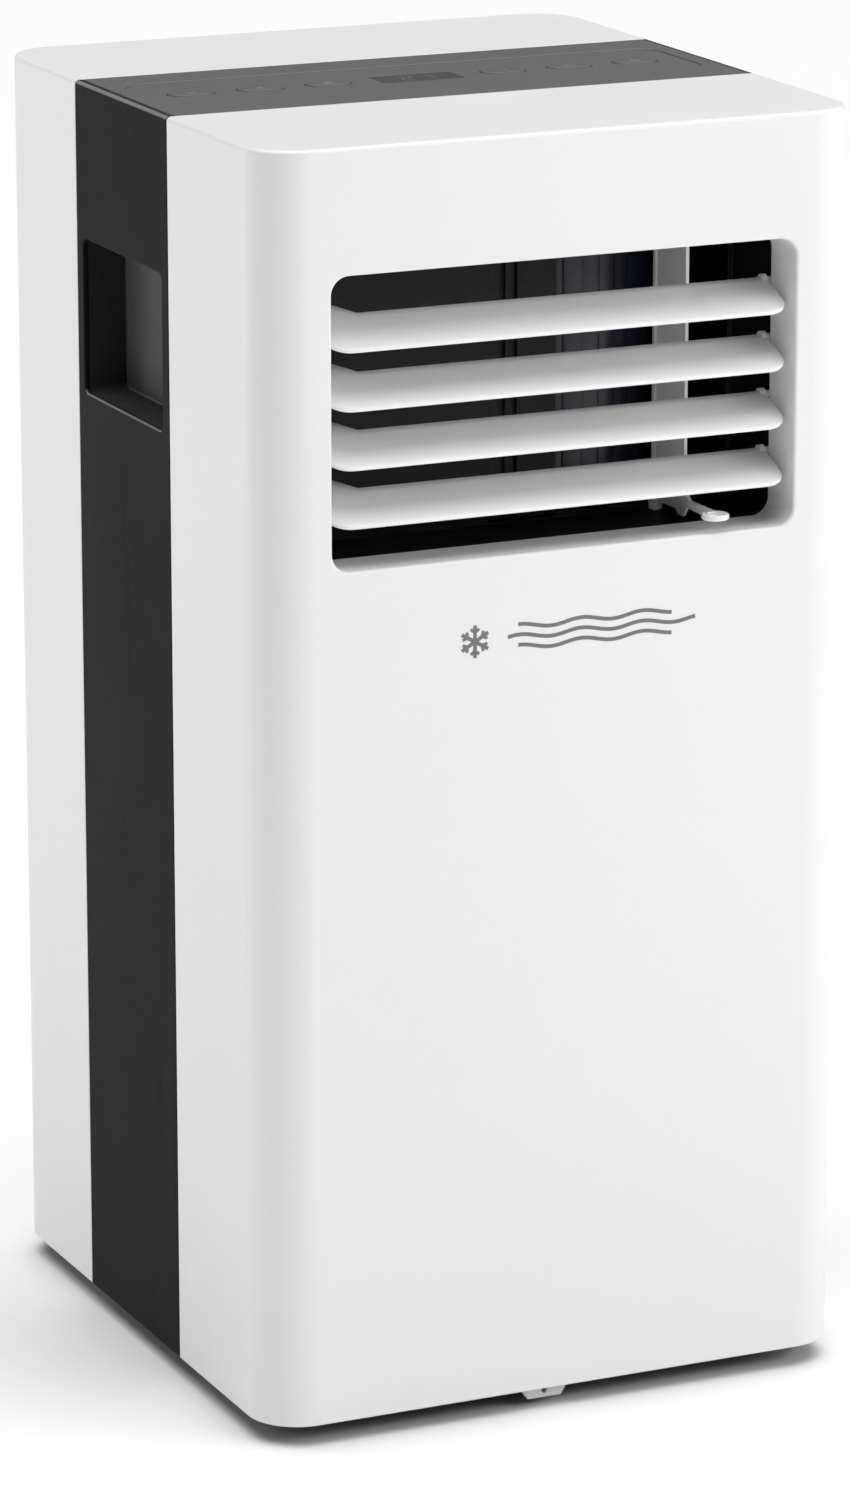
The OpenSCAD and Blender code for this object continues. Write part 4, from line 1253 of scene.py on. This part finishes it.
class BuildVane(bpy.types.Operator):
    """Upright vane with its curved lever and dished finger ring"""

    bl_idname = "aircon.vane"
    bl_label = "Vane"

    def execute(self, context):
        louvre = context.scene.aircon_louvre
        axis = pivot("air_vane_turn")
        front = low("air_vane").y
        reach = louvre.ring / 2
        lever = OUTLET[2] + 8.6 * MM
        thick = 1.5 * MM
        foot, head = low("outlet_duct").z + 5.9 * MM, high("outlet_duct").z - 5.9 * MM
        edge = axis.y - 35.5 * MM
        back = axis.y + 4 * MM
        curve = 11 * MM
        plate = [(back, foot + 2 * MM), (back, head), (edge, head)]
        plate += bow((edge - curve, lever + thick + curve), curve, 0, -90, 10)
        plate += [(front + 2.2 * reach, lever + thick), (front + 2.2 * reach, lever - thick * 0.2)]
        plate += [(edge - 4 * MM, lever - thick), (edge + 1 * MM, foot), (edge + 7 * MM, foot)]
        plate += [(edge + 10 * MM, foot + 2.6 * MM)]
        vane = prism("air_vane_plate", "x", axis.x - MM, axis.x + MM, plate)
        arm = [(axis.x + 2.2 * MM, edge + 3 * MM), (axis.x + 3.2 * MM, front + reach),
               (axis.x - 3.2 * MM, front + reach), (axis.x - 2.2 * MM, edge + 3 * MM)]
        hole = louvre.ring_hole / 2
        rim = [(hole, lever - 1.2 * MM), (hole, lever + 0.1 * MM), (hole + 1.3 * MM, lever + 0.7 * MM),
               (reach - 1.1 * MM, lever + 1.5 * MM), (reach - 0.5 * MM, lever + 1.4 * MM),
               (reach, lever + 0.7 * MM), (reach, lever - 0.7 * MM), (reach - 0.5 * MM, lever - 1.5 * MM),
               (hole + 0.5 * MM, lever - 1.5 * MM)]
        centre = (axis.x, front + reach)
        ring = turned("ring", "z", centre, rim, 48, closed=True)
        lug = prism("arm", "z", lever - thick, lever + thick, arm)
        carve(lug, rod("z", centre, hole + MM, lever - 0.02, lever + 0.02))
        pins = [rod("z", axis.xy, 1.95 * MM, foot - 5.4 * MM, head + 5.4 * MM, 32)]
        for height in (foot - 2.7 * MM, head - 1.5 * MM):
            pins.append(rod("z", axis.xy, 3.8 * MM, height, height + 4 * MM, 32))
        step = block((axis.x - 2.5 * MM, back - 5 * MM, foot),
                     (axis.x + 2.5 * MM, back + 0.5 * MM, foot + 7 * MM))
        unite(vane, lug, ring, step, *pins)
        soften(vane, 0.35 * MM, 38)
        show(vane, "white_blade", "air_vane", body="air_vane")
        return {"FINISHED"}


class BuildDuct(bpy.types.Operator):
    """Dark duct behind the outlet, with the cheek and ribs beside the blower's mouth"""

    bl_idname = "aircon.duct"
    bl_label = "Duct"

    def execute(self, context):
        refined("outlet_duct", "black_inner", 0.7 * MM)
        back = high("outlet_duct").y - 2.5 * MM
        floor = low("outlet_duct").z + 2.5 * MM
        ceiling = high("outlet_duct").z - 2.5 * MM
        rib = block((0.0, back - 2.4 * MM, floor), (2 * MM, back + 0.5 * MM, ceiling), "duct_ribs")
        soften(rib, 0.5 * MM)
        in_row(rib, "black_inner", 2, (7 * MM, 0.0, 0.0))
        cheek = block((-8.6 * MM, back, floor), (31 * MM, back + 2.4 * MM, ceiling), "duct_cheek")
        show(soften(cheek, 0.5 * MM), "black_inner")
        show(rib, "black_inner")
        return {"FINISHED"}


# ---------------------------------------------------------------- blowers


def fan_blade(name, axis, centre, outer, start, stop):
    """Curved blade of a drum wheel, between two places along the axis."""
    depth, thick, lean = 12 * MM, 0.6 * MM, math.radians(24)
    inner_side, outer_side = [], []
    for step in range(5):
        along = step / 4
        radius = outer - depth * (1 - along)
        angle = lean * (along ** 1.6) * 0.55
        u, v = math.cos(angle), math.sin(angle)
        inner_side.append((centre[0] + radius * u + thick * v, centre[1] + radius * v - thick * u))
        outer_side.append((centre[0] + radius * u - thick * v, centre[1] + radius * v + thick * u))
    return prism(name, axis, start, stop, inner_side + outer_side[::-1])


def drum_wheel(node, axis, radius, depth, blades, start):
    """Drum wheel from `start` on: its blades, back plate and hub, two hoops and its shaft."""
    centre = pivot(node.replace("wheel", "spin"))
    place = "xyz".index(axis)
    flat = [centre[i] for i in range(3) if i != place]
    blade = fan_blade(node + "_blades", axis, flat, radius - 1.2 * MM, start + MM, start + depth - MM)
    in_ring(blade, "wheel_plastic", blades, axis, [0.0 if i == place else centre[i] for i in range(3)])
    show(smoothed(blade), "wheel_plastic", node, body=node)
    web = [(4.0 * MM, start - 0.2 * MM), (radius - 0.6 * MM, start - 0.2 * MM), (radius, start + 0.4 * MM),
           (radius, start + 2.5 * MM), (26 * MM, start + 2.5 * MM), (22 * MM, start + 5 * MM),
           (15 * MM, start + 20 * MM), (13 * MM, start + 22 * MM), (4.0 * MM, start + 22 * MM)]
    parts = [turned("web", axis, flat, web, 96)]
    for height in (start + depth / 2 - MM, start + depth - 4 * MM):
        hoop_profile = ((radius - 3.4 * MM, height), (radius, height), (radius, height + 4 * MM),
                        (radius - 3.4 * MM, height + 4 * MM))
        parts.append(turned("hoop", axis, flat, hoop_profile, 96, closed=True))
    ends = (low(node)[place], high(node)[place])
    parts.append(rod(axis, flat, 3.98 * MM, *ends, 32))
    show(soften(gather(node + "_drum", *parts), 0.4 * MM, 35, 2), "wheel_plastic", body=node)


class BuildBlower(bpy.types.Operator):
    """Upper blower: its housing, its bluish drum wheel and its motor"""

    bl_idname = "aircon.blower"
    bl_label = "Upper blower"

    def execute(self, context):
        grille = context.scene.aircon_grille
        refined("blower_scroll", "black_inner", 0.6 * MM)
        radius = (high("blower_wheel").x - low("blower_wheel").x) / 2
        drum_wheel("blower_wheel", "z", radius, 134 * MM, grille.blower_blades, OUTLET[2] + 10 * MM)
        refined("blower_motor", "motor_steel", 0.8 * MM)
        return {"FINISHED"}


class BuildExhaust(bpy.types.Operator):
    """Exhaust blower: its housing, wheel and motor, and the hose collar with its finger guard"""

    bl_idname = "aircon.exhaust"
    bl_label = "Exhaust blower"

    def execute(self, context):
        grille = context.scene.aircon_grille
        refined("exhaust_scroll", "black_inner", 0.6 * MM)
        radius = (high("exhaust_wheel").x - low("exhaust_wheel").x) / 2
        drum_wheel("exhaust_wheel", "y", radius, 42 * MM, grille.exhaust_blades,
                   low("exhaust_scroll").y + 7 * MM)
        refined("exhaust_motor", "motor_steel", 0.8 * MM)
        collar = middle("exhaust_collar")
        centre = (collar.x, collar.z)
        start, stop = low("exhaust_collar").y, high("exhaust_collar").y
        rim = (high("exhaust_collar").x - low("exhaust_collar").x) / 2
        bore = rim - 9 * MM
        tube = rim - 4 * MM
        profile = [(bore, start), (tube, start), (tube, HALF_D + 0.3 * MM), (rim, HALF_D + 0.3 * MM)]
        profile += [(rim - 1.2 * MM + 1.2 * MM * math.cos(a), stop - 1.2 * MM + 1.2 * MM * math.sin(a))
                    for a in (math.pi / 8 * step for step in range(5))]
        profile += [(bore + 3.5 * MM, stop), (bore + 2 * MM, stop - 0.4 * MM), (bore, stop - 2.4 * MM)]
        ring = turned("exhaust_collar_ring", "y", centre, profile, 128, closed=True)
        show(soften(ring, 0.4 * MM, 35, 2), "black_inner", "exhaust_collar")
        guard_y = start - 6 * MM
        spoke = block((centre[0] + 8 * MM, guard_y, centre[1] - 1.1 * MM),
                      (centre[0] + bore, guard_y + 3 * MM, centre[1] + 1.1 * MM), "finger_guard")
        in_ring(spoke, "black_inner", 12, "y", (centre[0], 0.0, centre[1]))
        hoops = []
        for part in (0.14, 0.36, 0.58, 0.80, 1.0):
            middle_r = bore * part
            profile = ((middle_r - 1.2 * MM, guard_y), (middle_r + 1.2 * MM, guard_y),
                       (middle_r + 1.2 * MM, guard_y + 3 * MM), (middle_r - 1.2 * MM, guard_y + 3 * MM))
            hoops.append(turned("hoop", "y", centre, profile, 64, closed=True))
        show(smoothed(gather("finger_guard_hoops", spoke, *hoops)), "black_inner")
        return {"FINISHED"}


# ---------------------------------------------------------------- cooling circuit

TUBE_PITCH = 25 * MM
COMPRESSOR_AXIS = (-80 * MM, -72 * MM)


class BuildCoils(bpy.types.Operator):
    """Evaporator and condenser: stacks of thin fins, end plates and copper return bends"""

    bl_idname = "aircon.coils"
    bl_label = "Coils"

    def execute(self, context):
        grille = context.scene.aircon_grille
        for coil, slot in (("evaporator", "fin_aluminium"), ("condenser", "bare_aluminium")):
            start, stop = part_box(coil + "_fins")
            plate = 2 * MM
            inner = (start.x + plate, stop.x - plate)
            count = int((inner[1] - inner[0]) / grille.fin_pitch)
            first = inner[0] + grille.fin_pitch / 2
            fin = fin_sheet(coil + "_fin_stack", first, grille.fin, (start.y + 2 * MM, stop.y - 2 * MM),
                            (start.z + 3 * MM, stop.z - 3 * MM))
            in_row(fin, slot, count, (grille.fin_pitch, 0.0, 0.0))
            show(fin, slot, coil + "_fins")
            ends = [block((x, start.y, start.z), (x + plate, stop.y, stop.z)) for x in (start.x, inner[1])]
            show(soften(gather(coil + "_end_plates", *ends), 0.4 * MM), "motor_steel")
            tubes = []
            rows = int(round((stop.z - start.z - 6 * MM) / TUBE_PITCH - 0.5))
            for y in (start.y + 11 * MM, stop.y - 11 * MM):
                for row in range(rows):
                    height = start.z + 3 * MM + TUBE_PITCH * (row + 0.5)
                    tubes.append(rod("x", (y, height), 3.4 * MM, inner[0], inner[1], 16))
            show(smoothed(gather(coil + "_tubes_inside", *tubes)), "copper")
            refined(coil + "_tubes", "copper", 0)
        return {"FINISHED"}


def fin_sheet(name, x, thick, depths, heights):
    """One wavy fin, thin across x."""
    line = []
    for step in range(9):
        y = depths[0] + (depths[1] - depths[0]) * step / 8
        line.append((x + 0.5 * MM * math.sin(math.pi * step / 2), y))
    return ribbon(name, "z", *heights, line, thick)


class BuildCircuit(bpy.types.Operator):
    """Compressor on its rubber feet, copper pipes, filter drier and drip tray"""

    bl_idname = "aircon.circuit"
    bl_label = "Compressor and pipes"

    def execute(self, context):
        refined("compressor", "compressor_paint", 0.8 * MM)
        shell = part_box("compressor")
        height = (shell[0].z + shell[1].z) / 2
        seam = [(54.2 * MM, height - 2 * MM), (55.4 * MM, height - 0.8 * MM), (55.4 * MM, height + 0.8 * MM),
                (54.2 * MM, height + 2 * MM), (52 * MM, height)]
        weld = turned("compressor_weld", "z", COMPRESSOR_AXIS, seam, 96, closed=True)
        show(smoothed(weld), "compressor_paint")
        refined("compressor_grommets", "rubber", 1.2 * MM)
        refined("refrigerant_pipes", "copper", 0)
        refined("filter_drier", "copper", 1.5 * MM)
        refined("drip_tray", "tray_plastic", 0.6 * MM)
        return {"FINISHED"}


class BuildElectrics(bpy.types.Operator):
    """Electric box, its board and capacitor, and the board under the keys"""

    bl_idname = "aircon.electrics"
    bl_label = "Electrics"

    def execute(self, context):
        refined("electric_box", "tray_plastic", 1.0 * MM)
        refined("run_capacitor", "bare_aluminium", 1.2 * MM)
        refined("main_board", "circuit_board", 0.2 * MM)
        refined("control_board", "circuit_board", 0.2 * MM)
        return {"FINISHED"}


class BuildSump(bpy.types.Operator):
    """Slinger wheel that throws water on to the condenser, its motor, and the float switch"""

    bl_idname = "aircon.sump"
    bl_label = "Sump"

    def execute(self, context):
        refined("slinger_wheel", "tray_plastic", 0.3 * MM, body="slinger_wheel")
        refined("slinger_motor", "motor_steel", 0.6 * MM)
        refined("float_arm", "float_foam", 0.4 * MM, body="float_arm")
        return {"FINISHED"}


# ---------------------------------------------------------------- back


def slat(name, x0, x1, y0, y1, z):
    """Grille slat: round at the outside, thinner and lower inside."""
    section = [(y0, z - 1.5 * MM), (y0, z - 0.2 * MM), (y1 - 0.9 * MM, z + 1.1 * MM),
               (y1 - 0.2 * MM, z + 0.7 * MM), (y1, z), (y1 - 0.2 * MM, z - 0.7 * MM),
               (y1 - 0.9 * MM, z - 1.0 * MM)]
    return prism(name, "x", x0, x1, section)


class BuildGrilles(bpy.types.Operator):
    """Two lift-out intake grilles with level slats, and the dust filter behind the upper one"""

    bl_idname = "aircon.grilles"
    bl_label = "Grilles"

    def execute(self, context):
        grille = context.scene.aircon_grille
        for node, count in (("upper_grille", grille.upper_slats), ("lower_grille", grille.lower_slats)):
            start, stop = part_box(node)
            rim = 6 * MM
            border = prism(node + "_frame", "y", start.y, stop.y, node_outline(node, 0, 7.6 * MM))
            def inside(grow, start=start, stop=stop):
                return outline(start.x + rim - grow, stop.x - rim + grow, start.z + rim - grow,
                               stop.z - rim + grow, 2 * MM + grow)
            carve(border, flared("inside", "y", stop.y, start.y - MM, inside, 1.2 * MM, 4))
            show(soften(border, 0.4 * MM), "white_shell", node, body=node)
            pitch = (stop.z - start.z - 2 * rim) / (count + 1)
            blade = slat(node + "_slats", start.x + rim - MM, stop.x - rim + MM, start.y, stop.y - 0.6 * MM,
                         start.z + rim + pitch)
            in_row(blade, "white_shell", count, (0.0, 0.0, pitch))
            show(smoothed(blade, 50), "white_shell", body=node)
            quarter = (stop.x - start.x) / 4
            bar = block((start.x + quarter - 1.2 * MM, start.y + 0.3 * MM, start.z + 2 * MM),
                        (start.x + quarter + 1.2 * MM, start.y + 3.2 * MM, stop.z - 2 * MM), node + "_bars")
            in_row(soften(bar, 0.4 * MM), "white_shell", 3, (quarter, 0.0, 0.0))
            show(bar, "white_shell", body=node)
        refined("upper_filter", "filter_mesh", 0.5 * MM, body="upper_grille")
        return {"FINISHED"}


class BuildRearFittings(bpy.types.Operator):
    """Drain plugs, cable gland and case screws"""

    bl_idname = "aircon.rear_fittings"
    bl_label = "Rear fittings"

    def execute(self, context):
        for node in ("upper_drain_plug", "lower_drain_plug"):
            start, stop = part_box(node)
            centre = (middle(node).x, middle(node).z)
            cap, stem = (stop.x - start.x) / 2, 4.9 * MM
            profile = [(stem - MM, start.y), (stem, start.y + MM), (stem, HALF_D - 3 * MM),
                       (stem - 0.5 * MM, HALF_D - 2.6 * MM), (stem, HALF_D - 2 * MM),
                       (stem, HALF_D + 0.4 * MM), (cap - 0.4 * MM, HALF_D + 0.4 * MM),
                       (cap, HALF_D + 0.9 * MM),
                       (cap, stop.y - 1.4 * MM), (cap - 0.6 * MM, stop.y - 0.4 * MM),
                       (cap - 1.8 * MM, stop.y), (cap - 3 * MM, stop.y - 0.6 * MM), (MM, stop.y - 0.6 * MM)]
            plug = turned(node + "_turned", "y", centre, profile, 64)
            show(smoothed(plug, 45), "rubber", node, body=node)
        gland = middle("cable_gland")
        start, stop = low("cable_gland").y, high("cable_gland").y
        hole = 3.6 * MM
        profile = [(hole, start), (11.5 * MM, start), (12 * MM, start + 0.5 * MM),
                   (12 * MM, HALF_D - 3.4 * MM), (9 * MM, HALF_D - 3.2 * MM),
                   (9 * MM, HALF_D + 0.2 * MM), (11.6 * MM, HALF_D + 0.2 * MM),
                   (12 * MM, HALF_D + 0.7 * MM), (11.4 * MM, stop - 0.8 * MM), (8 * MM, stop - 0.3 * MM),
                   (7.4 * MM, stop - MM), (6.4 * MM, stop - MM), (5.8 * MM, stop), (hole + 0.5 * MM, stop),
                   (hole, stop - 0.5 * MM)]
        ring = turned("cable_gland_ring", "y", (gland.x, gland.z), profile, 64, closed=True)
        show(smoothed(ring, 35), "rubber", "cable_gland")
        front, back = high("case_screws").y, low("case_screws").y
        profile = [(1.2 * MM, back), (2 * MM, back + 2 * MM), (2 * MM, front - 2.4 * MM),
                   (4.2 * MM, front - 2.4 * MM), (4.2 * MM, front - 1.1 * MM), (3.6 * MM, front - 0.4 * MM),
                   (2.4 * MM, front)]
        screw = turned("screw", "y", (0, 0), profile, 24)
        slots = [block((-a, front - 1.4 * MM, -b), (a, front + MM, b))
                 for a, b in ((2.2 * MM, 0.45 * MM), (0.45 * MM, 2.2 * MM))]
        carve(screw, *slots)
        smoothed(screw, 35)
        places = [(side * SCREW_HALF, 0, height) for side in (-1, 1) for height in SCREW_HEIGHTS]
        screws = at_places("case_screw_set", screw, places, "screw_steel")
        show(screws, "screw_steel", "case_screws")
        return {"FINISHED"}


class PaintFrame(bpy.types.Operator):
    """Gives every frame node the finish that its slot names, also where a piece stands for it"""

    bl_idname = "aircon.paint_frame"
    bl_label = "Paint the frame"

    def execute(self, context):
        slots = {part["node"]: part["material_slot"] for part in frame["record"]["subparts"]}
        for node, piece in frame["nodes"].items():
            for place in range(max(len(piece.material_slots), 1)):
                if not piece.material_slots:
                    piece.data.materials.append(None)
                piece.material_slots[place].material = finishes()[slots[node]]
        return {"FINISHED"}


# ---------------------------------------------------------------- stage

FLOOR_REACH = 60.0


def lamp(name, power, size, place, target):
    """Soft rectangular light that faces a point."""
    light = bpy.data.lights.new(name, "AREA")
    light.shape = "RECTANGLE"
    light.size, light.size_y = size
    light.energy = power
    holder = bpy.data.objects.new(name, light)
    holder.location = place
    holder.rotation_euler = (Vector(target) - Vector(place)).to_track_quat("-Z", "Y").to_euler()
    bpy.context.scene.collection.objects.link(holder)
    return holder


class BuildStage(bpy.types.Operator):
    """Pale floor, soft light and the camera"""

    bl_idname = "aircon.stage"
    bl_label = "Stage"

    def execute(self, context):
        scene = context.scene
        stage = scene.aircon_stage
        floor = block((-FLOOR_REACH, -FLOOR_REACH, -20 * MM), (FLOOR_REACH, FLOOR_REACH, 0), "studio_floor")
        floor.data.materials.append(studio_floor("studio floor"))
        world = bpy.data.worlds.new("studio")
        world.use_nodes = True
        world.node_tree.nodes["Background"].inputs["Color"].default_value = (1.0, 1.0, 1.0, 1.0)
        world.node_tree.nodes["Background"].inputs["Strength"].default_value = stage.sky
        scene.world = world
        lamp("front light", stage.key, (1.2, 1.0), (2.05, -1.6, 1.2), (0, 0, 0.4))
        lamp("high light", stage.high, (1.2, 0.6), (1.1, -2.0, 1.5), (0, 0, 0.5))
        lamp("left light", stage.side, (1.0, 1.6), (-2.0, 1.7, 0.8), (0, 0, 0.35))
        sun = bpy.data.lights.new("overhead light", "SUN")
        sun.energy = stage.overhead
        sun.angle = math.radians(70)
        above = bpy.data.objects.new("overhead light", sun)
        above.location = (0, 0, 3)
        scene.collection.objects.link(above)
        eye = bpy.data.cameras.new("camera")
        eye.lens = stage.focal
        eye.sensor_width = 36.0
        eye.sensor_fit = "AUTO"
        eye.clip_end = 100.0
        camera = bpy.data.objects.new("camera", eye)
        back = Vector((math.sin(stage.azimuth) * math.cos(stage.pitch),
                       -math.cos(stage.azimuth) * math.cos(stage.pitch), math.sin(stage.pitch)))
        camera.location = Vector(stage.target) + back * stage.distance
        camera.rotation_euler = (-back).to_track_quat("-Z", "Y").to_euler()
        scene.collection.objects.link(camera)
        scene.camera = camera
        scene.view_settings.view_transform = "Standard"
        return {"FINISHED"}


# ---------------------------------------------------------------- add-on

SETTINGS = {"aircon_case": CaseSettings, "aircon_louvre": LouvreSettings, "aircon_grille": GrilleSettings,
            "aircon_finish": FinishSettings, "aircon_stage": StageSettings}
STEPS = (BuildFrontPanel, BuildRearHousing, BuildSidePanels, BuildTopPanel, BuildKeys, BuildDisplay,
         BuildMark, BuildBase, BuildCastors, BuildLouvres, BuildVane, BuildDuct, BuildBlower, BuildExhaust,
         BuildCoils, BuildCircuit, BuildElectrics, BuildSump, BuildGrilles, BuildRearFittings, PaintFrame,
         BuildStage)


class AirconPanel(bpy.types.Panel):
    """Lists the steps that build the air conditioner, and their settings"""

    bl_idname = "VIEW3D_PT_aircon"
    bl_label = "Air conditioner"
    bl_space_type = "VIEW_3D"
    bl_region_type = "UI"
    bl_category = "Air conditioner"

    def draw(self, context):
        column = self.layout.column(align=True)
        for step in STEPS:
            column.operator(step.bl_idname)
        for name, group in SETTINGS.items():
            settings = getattr(context.scene, name)
            box = self.layout.box()
            for key in group.__annotations__:
                box.prop(settings, key)


def register():
    """Adds the settings, the operators and the panel."""
    for name, group in SETTINGS.items():
        bpy.utils.register_class(group)
        setattr(bpy.types.Scene, name, PointerProperty(type=group))
    for entry in (*STEPS, AirconPanel):
        bpy.utils.register_class(entry)


def unregister():
    """Takes them away again."""
    for entry in reversed((*STEPS, AirconPanel)):
        bpy.utils.unregister_class(entry)
    for name, group in SETTINGS.items():
        delattr(bpy.types.Scene, name)
        bpy.utils.unregister_class(group)


def main():
    """Builds every piece in order."""
    register()
    for step in STEPS:
        family, name = step.bl_idname.split(".")
        getattr(getattr(bpy.ops, family), name)()


if __name__ == "__main__":
    main()
